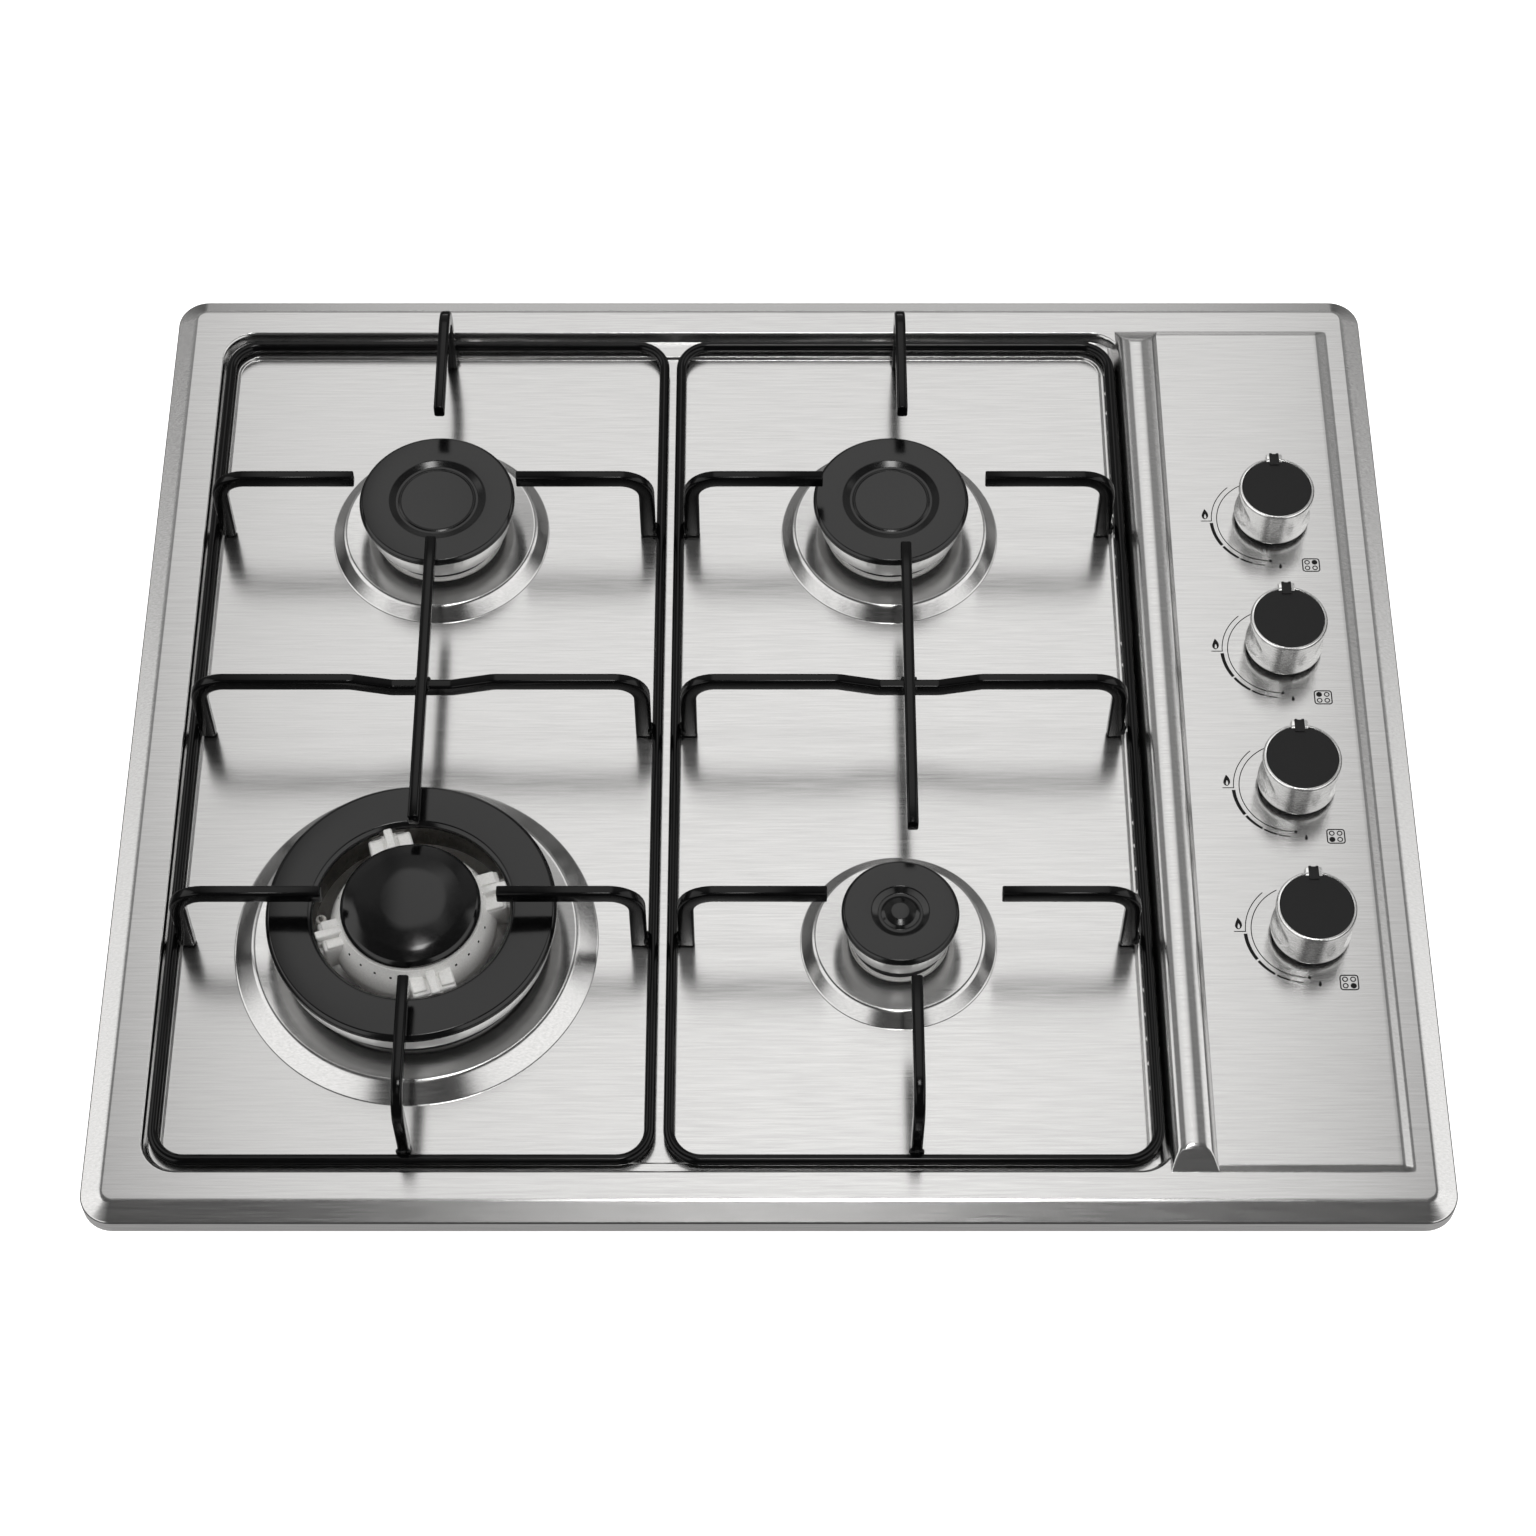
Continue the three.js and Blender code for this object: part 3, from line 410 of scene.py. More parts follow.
def height(x, y):
    x, y = np.asarray(x, float), np.asarray(y, float)
    z = Z_TOP - 0.45 * ramp(9.0 - inside(x, y, -T_X, T_X, -T_Y, T_Y, CORNER), 1.1)
    z = z - 4.5 * step(inside(x, y, *WELL), 1.9, 0.75, 0.4)
    z = z - 1.4 * step(inside(x, y, *LEDGE), 0.8, 0.25, 0.3)
    # raised control panel
    px = step(x - 179.0, 1.5, 0.5, 0.6) * step(272.0 - x, PANEL_RUN, 0.8, 0.9)
    py = step(225.8 - np.abs(y), PANEL_RUN_Y, 0.35, 0.4)
    z = z + 1.2 * px * py
    # ridge between the well and the panel, sloped off at both ends
    k = np.clip(np.searchsorted(RIDGE[:, 0], x) - 1, 0, len(RIDGE) - 2)
    xa, za, xb, zb = RIDGE[k, 0], RIDGE[k, 1], RIDGE[k + 1, 0], RIDGE[k + 1, 1]
    t = np.clip((x - xa) / (xb - xa), 0, 1)
    ridge = ((1 + 2 * t) * (1 - t) ** 2 * za + t * t * (3 - 2 * t) * zb
             + (xb - xa) * (t * (1 - t) ** 2 * RIDGE_M[k] - t * t * (1 - t) * RIDGE_M[k + 1]))
    end = Z_TOP + (225.7 - np.abs(y)) * 0.62
    ridge = ridge - ramp(ridge - end, 0.5)
    ridge = np.where((x < RIDGE[0, 0]) | (x > RIDGE[-1, 0]) | (np.abs(y) > 226.4), -10.0, ridge)
    z = z + ramp(ridge - z, 0.1) - 0.02 * (ridge > z - 0.1)
    # burner plateaus
    for b in BURNERS.values():
        r = np.hypot(x - b["x"], y - b["y"])
        q = b["rim"] - r
        m = (b["top"] - Z_FLOOR) / b["run"]
        md = (b["top"] - b["low"]) / (b["rim"] - b["run"] - b["hole"])
        up = m * ramp(q, 0.45) - (m + md) * ramp(q - b["run"], 1.15) - 1.3 * ramp(b["hole"] + 0.55 - r, 0.5)
        z = np.where(q > -0.5, z + up, z)
    return z


def rr_line(x0, x1, y0, y1, r, step_mm=12.0, arc=10):
    pts = []
    for cx, cy, a0 in ((x1 - r, y1 - r, 0), (x0 + r, y1 - r, 90), (x0 + r, y0 + r, 180), (x1 - r, y0 + r, 270)):
        for k in range(arc + 1):
            a = rad(a0 + 90 * k / arc)
            pts.append((cx + r * math.cos(a), cy + r * math.sin(a)))
        nx, ny = {0: (x0 + r, y1), 90: (x0, y0 + r), 180: (x1 - r, y0), 270: (x1, y1 - r)}[a0]
        sx, sy = pts[-1]
        n = {0: NX, 180: NX, 90: NY, 270: NY}[a0]
        for k in range(1, n):
            pts.append((sx + (nx - sx) * k / n, sy + (ny - sy) * k / n))
    return pts


NX, NY = 40, 34


def top_mesh():
    pts, seen, edges = [], {}, []

    def put(x, y):
        key = (round(x, 3), round(y, 3))
        if key not in seen:
            seen[key] = len(pts)
            pts.append(key)
        return seen[key]

    def line(points, keep=lambda x, y: True, closed=True):
        ids = [put(x, y) if keep(x, y) else None for x, y in points]
        for i in range(len(ids) if closed else len(ids) - 1):
            a, b = ids[i], ids[(i + 1) % len(ids)]
            if a is not None and b is not None and a != b:
                edges.append((a, b))
        return ids

    rim = line(rr_line(-T_X + 0.708, T_X - 0.708, -T_Y + 0.708, T_Y - 0.708, CORNER - 0.708))
    for d in (2.2, 4.2, 6.2, 7.4, 7.9, 8.25, 8.6, 8.95, 9.3, 9.65, 10.1, 10.8):
        line(rr_line(-T_X + d, T_X - d, -T_Y + d, T_Y - d, max(CORNER - d, 2.5)))
    x0, x1, y0, y1, r = WELL
    clear = lambda x, y: x < 165.4
    for s in (-1.6, -0.8, -0.6, -0.4, -0.2, 0.0, 0.2, 0.4, 0.6, 0.78, 0.95, 1.15, 1.35, 1.5, 1.65, 1.8, 1.95, 2.1, 2.3, 2.9):
        line(rr_line(x0 + s, x1 - s, y0 + s, y1 - s, r - s), clear)
    x0, x1, y0, y1, r = LEDGE
    for s in (-1.0, -0.27, -0.13, 0.0, 0.13, 0.27, 0.4, 0.52, 0.66, 0.8, 0.94, 1.12, 2.0):
        line(rr_line(x0 + s, x1 - s, y0 + s, y1 - s, r - s))
    for b in BURNERS.values():
        n = 168 if b["rim"] > 60 else 120
        q = [-1.2, -0.45, -0.27, -0.09, 0.09, 0.27, 0.47, 1.2, 2.4]
        q += list(np.linspace(b["run"] - 2.0, b["run"] - 1.3, 2)) + list(b["run"] + np.linspace(-1.15, 1.15, 9))
        q += [b["run"] + 1.6, b["run"] + 3.5]
        inner = b["rim"] - b["hole"]
        q += list(np.linspace(b["run"] + 3.5, inner - 1.6, 4))[1:] + [inner - 1.05, inner - 0.8, inner - 0.55, inner - 0.3, inner]
        for s in q:
            rr = b["rim"] - s
            line([(b["x"] + rr * math.cos(2 * math.pi * k / n), b["y"] + rr * math.sin(2 * math.pi * k / n)) for k in range(n)],
                 keep=lambda x, y, rr=rr, b=b: all(math.hypot(x - hx, y - hy) > hr + 0.25 for hx, hy, hr in HOLES if hr < 4))
    for hx, hy, hr in HOLES:
        if hr < 10:
            for e in (0, 0.6):
                line([(hx + (hr + e) * math.cos(2 * math.pi * k / 32), hy + (hr + e) * math.sin(2 * math.pi * k / 32)) for k in range(32)])
    # ridge
    xs = list(np.arange(165.7, 186.9, 0.5)) + list(np.arange(187.0, 190.8, 0.2))
    ends = list(np.arange(227.2, 217.9, -0.25)) + [216.5, 214.5, 212]
    ys = sorted([-e for e in ends] + ends + list(np.linspace(-208, 208, 40)))
    for x in xs:
        for y in ys:
            put(x, y)
    # panel
    xs = [191.2, 194, 200, 210, 220, 230, 244, 254, 262, 265.5] + list(np.arange(267.0, 273.4, 0.3)) + [274.0]
    ends = list(np.arange(226.6, 221.8, -0.25)) + [220.5, 218.5]
    ys = sorted([-e for e in ends] + ends + list(np.linspace(-208, 208, 40)))
    for x in xs:
        for y in ys:
            if all(math.hypot(x - hx, y - hy) > hr + 1.2 for hx, hy, hr in HOLES if hx > 200):
                put(x, y)
    for y in [s * e for e in (226.6, 227.4, 229) for s in (-1, 1)]:
        for x in xs:
            put(x, y)
    # open areas
    have = np.array(pts)
    gx, gy = np.meshgrid(np.arange(-255, 158, 11.0), np.arange(-210, 212, 11.0))
    for x, y in zip(gx.ravel(), gy.ravel()):
        if np.min(np.hypot(have[:, 0] - x, have[:, 1] - y)) > 5.5:
            put(float(x), float(y))
    co, ce, cf, *_ = delaunay_2d_cdt([Vector(p) for p in pts], edges, [], 0, 1e-4)
    co = np.array([tuple(c) for c in co])
    tri = np.array([tuple(f) for f in cf if len(f) == 3])
    c = co[tri].mean(1)
    ok = inside(c[:, 0], c[:, 1], -T_X + 0.708, T_X - 0.708, -T_Y + 0.708, T_Y - 0.708, CORNER - 0.708) > -0.02
    for hx, hy, hr in HOLES:
        ok &= np.hypot(c[:, 0] - hx, c[:, 1] - hy) > hr * 0.999
    tri = tri[ok]
    a, b, cc = co[tri[:, 0]], co[tri[:, 1]], co[tri[:, 2]]
    area = (b[:, 0] - a[:, 0]) * (cc[:, 1] - a[:, 1]) - (b[:, 1] - a[:, 1]) * (cc[:, 0] - a[:, 0])
    tri[area < 0] = tri[area < 0][:, ::-1]
    tri = tri[np.abs(area) > 1e-7]
    used = np.unique(tri)
    index = -np.ones(len(co), int)
    index[used] = np.arange(len(used))
    co, tri = co[used], index[tri]
    x, y = co[:, 0], co[:, 1]
    z = height(x, y)
    e = 0.03
    gx = (height(x + e, y) - height(x - e, y)) / (2 * e)
    gy = (height(x, y + e) - height(x, y - e)) / (2 * e)
    nrm = np.stack([-gx, -gy, np.ones_like(gx)], 1)
    nrm /= np.linalg.norm(nrm, axis=1)[:, None]
    n = len(co)
    verts = [np.stack([x, y, z], 1), np.stack([x, y, z - 0.8], 1)]
    faces = [tuple(t) for t in tri] + [(t[2] + n, t[1] + n, t[0] + n) for t in tri]
    loops = [nrm[i] for t in tri for i in t] + [-nrm[i] for t in tri for i in (t[2], t[1], t[0])]
    # open boundaries: the outer rim and the hole edges
    count = {}
    for t in tri:
        for i in range(3):
            a, b = int(t[i]), int(t[(i + 1) % 3])
            count[(a, b)] = count.get((a, b), 0) + 1
    border = {a: b for (a, b) in count if (b, a) not in count}
    start = max(border, key=lambda i: co[i][0] + 0.001 * co[i][1])
    loop, k = [start], border[start]
    while k != start:
        loop.append(k)
        k = border[k]
    outer = set(loop)
    for a, b in border.items():
        if a in outer:
            continue
        faces.append((b, a, a + n, b + n))
        cx, cy = min(((h[0], h[1]) for h in HOLES), key=lambda h: math.hypot(co[a][0] - h[0], co[a][1] - h[1]))
        for i in (b, a, a, b):
            v = np.array([cx - co[i][0], cy - co[i][1], 0.0])
            loops.append(v / np.linalg.norm(v))
    # rounded edge and skirt, outside and inside
    base = np.array([co[i] for i in loop])
    mid = np.clip(base, [-T_X + CORNER, -T_Y + CORNER], [T_X - CORNER, T_Y - CORNER])
    out = base - mid
    flat = np.linalg.norm(out, axis=1)
    out = out / flat[:, None]
    m = len(loop)
    rings, norms = [np.array(loop)], [None]
    total = 2 * n
    spec = []
    for f in np.linspace(0, 1, 9)[1:]:
        a = rad(114.2 + 65.8 * f)
        spec.append((1.2 + 1.2 * math.cos(a), 52.174 + 1.2 * math.sin(a), -math.cos(a), math.sin(a)))
    spec += [(0.0, 50.0, 1, 0), (0.0, 45.35, 1, 0), (0.1, 45.08, 0.75, -0.66), (0.3, 45.0, 0.2, -0.98), (0.6, 45.0, 0, -1), (0.78, 45.1, -0.7, -0.7),
             (0.8, 45.6, -1, 0), (0.8, 51.9, -1, 0)]
    extra = []
    for d, zz, no, nz in spec:
        p = base + out * (0.708 - d)
        extra.append(np.column_stack([p, np.full(m, zz)]))
        rings.append(np.arange(total, total + m))
        norms.append(np.column_stack([out * no, np.full(m, nz)]))
        total += m
    rings.append(np.array(loop) + n)
    verts += extra
    a66 = rad(114.2)
    norms[0] = np.column_stack([out * -math.cos(a66), np.full(m, math.sin(a66))])
    norms.append(norms[-1])
    for i in range(len(rings) - 1):
        A, B = rings[i], rings[i + 1]
        for j in range(m):
            k = (j + 1) % m
            faces.append((int(A[k]), int(A[j]), int(B[j]), int(B[k])))
            loops += [norms[i][k], norms[i][j], norms[i + 1][j], norms[i + 1][k]]
    me = bpy.data.meshes.new("hob_top_look")
    me.from_pydata([tuple(p) for p in np.vstack(verts) * MM], [], faces)
    me.materials.append(M_STEEL)
    me.update()
    me.shade_smooth()
    loops = np.array(loops)
    loops /= np.linalg.norm(loops, axis=1)[:, None]
    me.normals_split_custom_set([tuple(v) for v in loops])
    me.update()
    return place("hob_top_look", me, "cooktop", "hob_top")


top_mesh()

# ---------------------------------------------------------------- pan supports

BAR, Z_BAR, WIRE_R, Z_WIRE, BEND, Z_LEG, TIP = 7.2, 94.4, 2.4, 56.0, 12.0, 52.6, 37.6
SUPPORTS = {
    "left": dict(x0=-261.6, x1=-50.6, y0=-219.0, y1=217.5, fx=-154.5, xm=-154.7, bar=-3.5, m0=-75.5, m1=74.0),
    "right": dict(x0=-42.4, x1=164.2, y0=-219.0, y1=217.5, fx=62.6, xm=62.6, bar=-3.5, m0=-78.5, m1=71.0),
}


def arc(along, up, r, a0, a1, n=9):
    return [(along + r * math.cos(rad(a0 + (a1 - a0) * k / n)), up + r * math.sin(rad(a0 + (a1 - a0) * k / n))) for k in range(n + 1)]


def pan_support(which):
    s = SUPPORTS[which]
    out = Buf()
    sq = square(BAR, 1.2, 4)
    sq[:, 0] -= np.sign(sq[:, 0]) * (BAR - 4.9) / 2
    rod = circle(WIRE_R, 20)
    loop = []
    r = 14.0
    w0, w1, h0, h1 = s["x0"] + (0.3 if which == "left" else 0.0), s["x1"] + (1.2 if which == "right" else 0.0), s["y0"] - 0.6, s["y1"]
    for cx, cy, a0 in ((w1 - r, h1 - r, 0), (w0 + r, h1 - r, 90), (w0 + r, h0 + r, 180), (w1 - r, h0 + r, 270)):
        loop += [(cx + r * math.cos(rad(a0 + 90 * k / 14)), cy + r * math.sin(rad(a0 + 90 * k / 14)), Z_WIRE) for k in range(15)]
    out.add(*sweep(loop, rod, (0, 0, 1), closed=True))
    xl, xr = s["x0"] + 6.3, s["x1"] - (6.3 if which == "left" else 6.7)
    yr, yf = s["y1"] - 7.5, s["y0"] + 6.7
    seed = 10 if which == "left" else 60

    def fingers(points, plane, at):
        path = [(a, at, z) if plane == "x" else (at, a, z) for a, z in points]
        out.add(*sweep(path, sq, (0, 1, 0) if plane == "x" else (1, 0, 0), bevel=0.55))

    def weld(x, y, along, k):
        sz = (2.1, 1.5, 1.5) if along == "x" else (1.5, 2.1, 1.5)
        out.add(*bead((x, y, Z_WIRE + 0.2), sz, seed + k))
        dx, dy = (0, 2.2) if along == "x" else (2.2, 0)
        out.add(*bead((x + dx * 0.9, y + dy * 0.9, Z_WIRE - 0.2), (1.5, 1.4, 1.3), seed + k + 1))
        out.add(*bead((x - dx * 0.9, y - dy * 0.9, Z_WIRE - 0.2), (1.4, 1.5, 1.3), seed + k + 2))

    for i, y in enumerate((108.7, -112.3)):
        fingers([(xl, Z_LEG)] + arc(xl + BEND, Z_BAR - BEND, BEND, 180, 90) + [(s["fx"] - TIP, Z_BAR)], "x", y)
        fingers([(xr, Z_LEG)] + arc(xr - BEND, Z_BAR - BEND, BEND, 0, 90) + [(s["fx"] + TIP, Z_BAR)], "x", y)
        weld((s["x0"] + xl) / 2, y, "x", 3 * i)
        weld((s["x1"] + xr) / 2, y, "x", 20 + 3 * i)
    dip = Z_BAR - 4.7
    xm = s["xm"]
    mids = rounded([(xm - 44, Z_BAR), (xm - 32, Z_BAR), (xm - 13.5, dip), (xm + 13.5, dip), (xm + 32, Z_BAR), (xm + 44, Z_BAR)],
                   [0, 14, 10, 10, 14, 0], n=24)
    cross = [(xl, Z_LEG)] + arc(xl + BEND, Z_BAR - BEND, BEND, 180, 90) + [tuple(q) for q in mids] \
        + arc(xr - BEND, Z_BAR - BEND, BEND, 90, 0) + [(xr, Z_LEG)]
    fingers(cross, "x", s["bar"])
    weld((s["x0"] + xl) / 2, s["bar"], "x", 40)
    weld((s["x1"] + xr) / 2, s["bar"], "x", 43)
    fingers([(s["m0"], Z_BAR), (s["m0"] + 20, Z_BAR), (s["m1"] - 20, Z_BAR), (s["m1"], Z_BAR)], "y", s["fx"])
    for k, (dx, dy) in enumerate(((-2.6, -2.6), (-2.6, 2.6), (2.6, -2.6), (2.6, 2.6))):
        out.add(*bead((s["fx"] + dx, s["bar"] + dy, dip + 3.1), (1.0, 1.0, 0.9), seed + 70 + k))   # tacks where the bars cross
    fingers([(yr, Z_LEG)] + arc(yr - BEND, Z_BAR - BEND, BEND, 0, 90) + [(147.5, Z_BAR)], "y", s["fx"])
    fingers([(yf, Z_LEG)] + arc(yf + BEND, Z_BAR - BEND, BEND, 180, 90) + [(-153.4, Z_BAR)], "y", s["fx"])
    weld(s["fx"], (s["y1"] + yr) / 2, "y", 50)
    weld(s["fx"], (s["y0"] + yf) / 2, "y", 53)
    return out.put(f"pan_support_{which}_look", f"{which}_pan_support", "support_enamel", M_ENAMEL, f"pan_support_{which}", angle=50)


for side in ("left", "right"):
    pan_support(side)

# ---------------------------------------------------------------- burners


def notch(r_min, z_min, depth, count, share, n, phase=0.0):
    """Flame ports: notches in the upper edge of a crown's wall."""
    def shape(r, a, z):
        if r >= r_min and z >= z_min:
            f = (a / (2 * math.pi) * count + phase) % 1.0
            if f < share:
                return r, z - depth
        return r, z
    return shape


# painted_shade_sleeve: a thin ring in a dark material, put round a burner's neck or ring wall where only shade falls;
# painted shade for the dark gap under a crown, not a real part
def painted_shade_sleeve(r0, r1, z0, z1):
    return rounded([[r0, z0], [r1, z0], [r1, z1], [r0, z1]], [0.2] * 4, 3, closed=True)


SEMI_CUP = [[0, 10], [20, 10], [28.2, 22], [28.2, 52.6], [33.5, 52.6], [33.5, 54.4], [28.2, 54.4], [28.2, 57.2], [25.6, 57.2], [25.6, 22.6], [18.8, 12.2], [0, 12.2]]
SEMI_HEAD = [[22.6, 46], [24.6, 46], [24.6, 57.5], [27.6, 57.5], [28.6, 63.2], [33, 64.4], [33, 75.9], [30.8, 75.9], [30.8, 66], [9.5, 65], [9.5, 49], [11.5, 49], [11.5, 62], [22.6, 62]]
SEMI_CAP = [[0, 76.2], [28.5, 76.2], [28.5, 74.2], [30.2, 74.2], [30.2, 76.2], [35.5, 76.2], [36.2, 77.0], [36.2, 78.7], [34.9, 79.9], [22.4, 79.9], [19.2, 78.7], [18.1, 78.7], [17.3, 79.05], [16.6, 78.85], [0, 78.95]]
for k in ("rear_left", "rear_right"):
    b = BURNERS[k]
    x, y = b["x"], b["y"]
    Buf().add(*turned(rounded(SEMI_CUP, [0] + [0.5] * 10 + [0], 2), x, y, 96, closed=False)).put(f"{k}_burner_cup_look", "cooktop", "burner_aluminium", M_CAST, f"{k}_burner_cup")
    prof = rounded(SEMI_HEAD, [0.3, 0.3, 0.3, 0.5, 1.2, 0.7, 0.45, 0.4, 0.6, 1, 0.3, 0.3, 1, 1], 4, closed=True)
    head = Buf()
    head.add(*turned(prof, x, y, 240, closed=True, shape=notch(30.7, 75.0, 1.5, 30, 0.26, 240)), 0)
    # dark sleeve round the neck: painted shade for the gap under the crown's flange
    head.add(*turned(painted_shade_sleeve(28.0, 29.15, 57.7, 63.7), x, y, 120, closed=True), 1)
    head.put(f"{k}_burner_head_look", f"{k}_head", "burner_aluminium", [M_CROWN, M_HOUSING], f"{k}_burner_head", angle=45)
    prof = rounded(SEMI_CAP, [0, 0.3, 0.3, 0.3, 0.3, 0.6, 0.9, 1.0, 1.1, 3.5, 0.9, 0.4, 0.5, 0.6, 0], 7)
    Buf().add(*turned(prof, x, y, 160)).put(f"{k}_burner_cap_look", f"{k}_cap", "cap_enamel", M_CAP, f"{k}_burner_cap", angle=60)

FR_CUP = [[0, 12], [14, 12], [20.2, 21], [20.2, 52.6], [24.6, 52.6], [24.6, 54.4], [20.2, 54.4], [20.2, 57.2], [18, 57.2], [18, 21.8], [13, 14], [0, 14]]
FR_HEAD = [[15.2, 46], [17, 46], [17, 57.5], [19.6, 57.5], [20.2, 64.2], [23.4, 65.5], [23.4, 75.5], [21.6, 75.5], [21.6, 66.6], [6.5, 65.8], [6.5, 49], [8.3, 49], [8.3, 63], [15.2, 63]]
FR_CAP = [[0, 75.8], [19.3, 75.8], [19.3, 74], [20.8, 74], [20.8, 75.8], [24.9, 75.8], [25.6, 76.5], [25.6, 78.3], [24.4, 79.5], [12.4, 79.5], [9.8, 77.6], [8.3, 77.7], [6.9, 78.7], [4, 79.5], [0, 79.7]]
b = BURNERS["front_right"]
x, y = b["x"], b["y"]
Buf().add(*turned(rounded(FR_CUP, [0] + [0.5] * 10 + [0], 2), x, y, 96, closed=False)).put("front_right_burner_cup_look", "cooktop", "burner_aluminium", M_CAST, "front_right_burner_cup")
prof = rounded(FR_HEAD, [0.3, 0.3, 0.3, 0.5, 1.2, 0.7, 0.45, 0.4, 0.6, 1, 0.3, 0.3, 1, 1], 4, closed=True)
head = Buf()
head.add(*turned(prof, x, y, 192, closed=True, shape=notch(21.5, 74.6, 1.5, 24, 0.25, 192)), 0)
# dark sleeve round the neck: painted shade for the gap under the crown's flange
head.add(*turned(painted_shade_sleeve(19.8, 21.0, 57.7, 64.8), x, y, 96, closed=True), 1)
head.put("front_right_burner_head_look", "front_right_head", "burner_aluminium", [M_CROWN, M_HOUSING], "front_right_burner_head", angle=45)
prof = rounded(FR_CAP, [0, 0.3, 0.3, 0.3, 0.3, 0.6, 0.9, 1.0, 1.1, 1.5, 1.0, 0.8, 1.5, 2.5, 0], 6)
Buf().add(*turned(prof, x, y, 140)).put("front_right_burner_cap_look", "front_right_cap", "cap_enamel", M_CAP, "front_right_burner_cap", angle=60)

b = BURNERS["wok"]
x, y = b["x"], b["y"]
WOK_CUP = [[0, 9], [44, 9], [52.6, 20], [52.6, 52.6], [58, 52.6], [58, 54.4], [52.6, 54.4], [52.6, 57.2], [50, 57.2], [50, 20.8], [43, 11.2], [0, 11.2]]
Buf().add(*turned(rounded(WOK_CUP, [0] + [0.5] * 10 + [0], 2), x, y, 128, closed=False)).put("wok_burner_cup_look", "cooktop", "burner_aluminium", M_CAST, "wok_burner_cup")
WOK_RING = [[44.6, 61], [49, 57.5], [55.5, 57.5], [56.5, 65.8], [61, 67.6], [61, 76.3], [58.8, 76.3], [58.8, 69.4], [47.2, 69.4], [47.2, 76.3], [44.6, 76.3]]
head = Buf()
prof = rounded(WOK_RING, [0.5, 0.5, 0.5, 1.4, 0.8, 0.45, 0.4, 0.8, 0.8, 0.4, 0.4], 4, closed=True)
head.add(*turned(prof, x, y, 360, closed=True, shape=notch(58.7, 75.4, 1.5, 45, 0.25, 360)), 0)
# core: a sloped wall; its row of small flame ports is drawn below as dark boxes set into the wall, painted shade for
# the port holes
core = [[10, 50], [12, 50], [12, 59], [30, 59], [36.2, 64], [36.2, 69.5]]
core += [[36.2 + (31.2 - 36.2) * f, 69.5 + (81.9 - 69.5) * f] for f in np.linspace(0, 1, 32)[1:]]
core += [[29, 81.9], [29, 67], [10, 65.5]]


head.add(*turned(np.array(core), x, y, 168, closed=True), 1)
# dark sleeve over the ring's lower outer wall: painted shade under the ring's flange
head.add(*turned(painted_shade_sleeve(55.8, 57.1, 58.4, 66.2), x, y, 168, closed=True), 2)
# darker metal liner over the ring's inner wall: painted shade in the gap between ring and core
head.add(*turned(painted_shade_sleeve(44.1, 44.9, 61.6, 76.1), x, y, 168, closed=True), 3)
# flame ports: black boxes sunk flush into the sloped wall, painted shade standing in for the port holes
lean_in = Matrix.Rotation(-math.atan2(5.0, 12.4), 4, "Y")
for k in range(28):
    if abs((k * 360 / 28 - 17.5 + 45) % 90 - 45) > 20:
        turn = Matrix.Translation((x, y, 0)) @ Matrix.Rotation(2 * math.pi * k / 28, 4, "Z")
        head.add(*box((1.0, 1.45, 1.45), 0.45, turn @ Matrix.Translation((32.85 - 0.35, 0, 77.6)) @ lean_in), 2)
for k in range(4):
    a = rad(17.5 + 90 * k)
    turn = Matrix.Translation((x, y, 0)) @ Matrix.Rotation(a, 4, "Z")
    wide = 0.76 if k == 2 else 1.0                             # the electrode stands beside this arm
    for r0, r1, w, z0, z1, bev in ((29.5, 40.8, 19 * wide, 62.5, 77.6, 1.2), (35, 46, 15 * wide, 62.5, 73.4, 1.0),
                                   (30.2, 42.6, 3.8, 77, 80.9, 0.8), (39.9, 42.4, 7 * wide, 72, 76.6, 0.7)):
        head.add(*box((r1 - r0, w, z1 - z0), bev, turn @ Matrix.Translation(((r0 + r1) / 2, 0, (z0 + z1) / 2))), 1)
    for s in (-1, 1):
        head.add(*box((8.5, 6.0 * wide, 2.4), 0.7, turn @ Matrix.Translation((34.8, s * 6.2 * wide, 77.6))), 1)
head.put("wok_burner_head_look", "wok_head", "burner_aluminium", [M_CROWN, M_CAST, M_HOUSING, M_PIN], "wok_burner_head", angle=40)
prof = rounded([[43.6, 76.6], [62.1, 76.6], [63, 77.5], [63, 79.6], [61.5, 81.1], [44.5, 81.1], [42.7, 79.6], [42.7, 77.5]],
               [0.5, 0.7, 0.9, 1.1, 1.4, 1.4, 1.1, 0.7], 7, closed=True)
Buf().add(*turned(prof, x, y, 220, closed=True)).put("wok_ring_cap_look", "wok_outer_cap", "cap_enamel", M_DOME, "wok_ring_cap", angle=60)
prof = rounded([[0, 82.2], [26.4, 82.2], [26.4, 80.1], [28.2, 80.1], [28.2, 82.2], [29.5, 82.2], [30.4, 83.1], [30.4, 84.7], [29.0, 86.3], [23.6, 88.3], [14.4, 90.1], [0, 90.9]],
               [0, 0.3, 0.3, 0.3, 0.3, 0.7, 0.8, 0.9, 3.0, 14, 30, 0], 7)
Buf().add(*turned(prof, x, y, 160)).put("wok_inner_cap_look", "wok_centre_cap", "cap_enamel", M_DOME, "wok_inner_cap", angle=60)

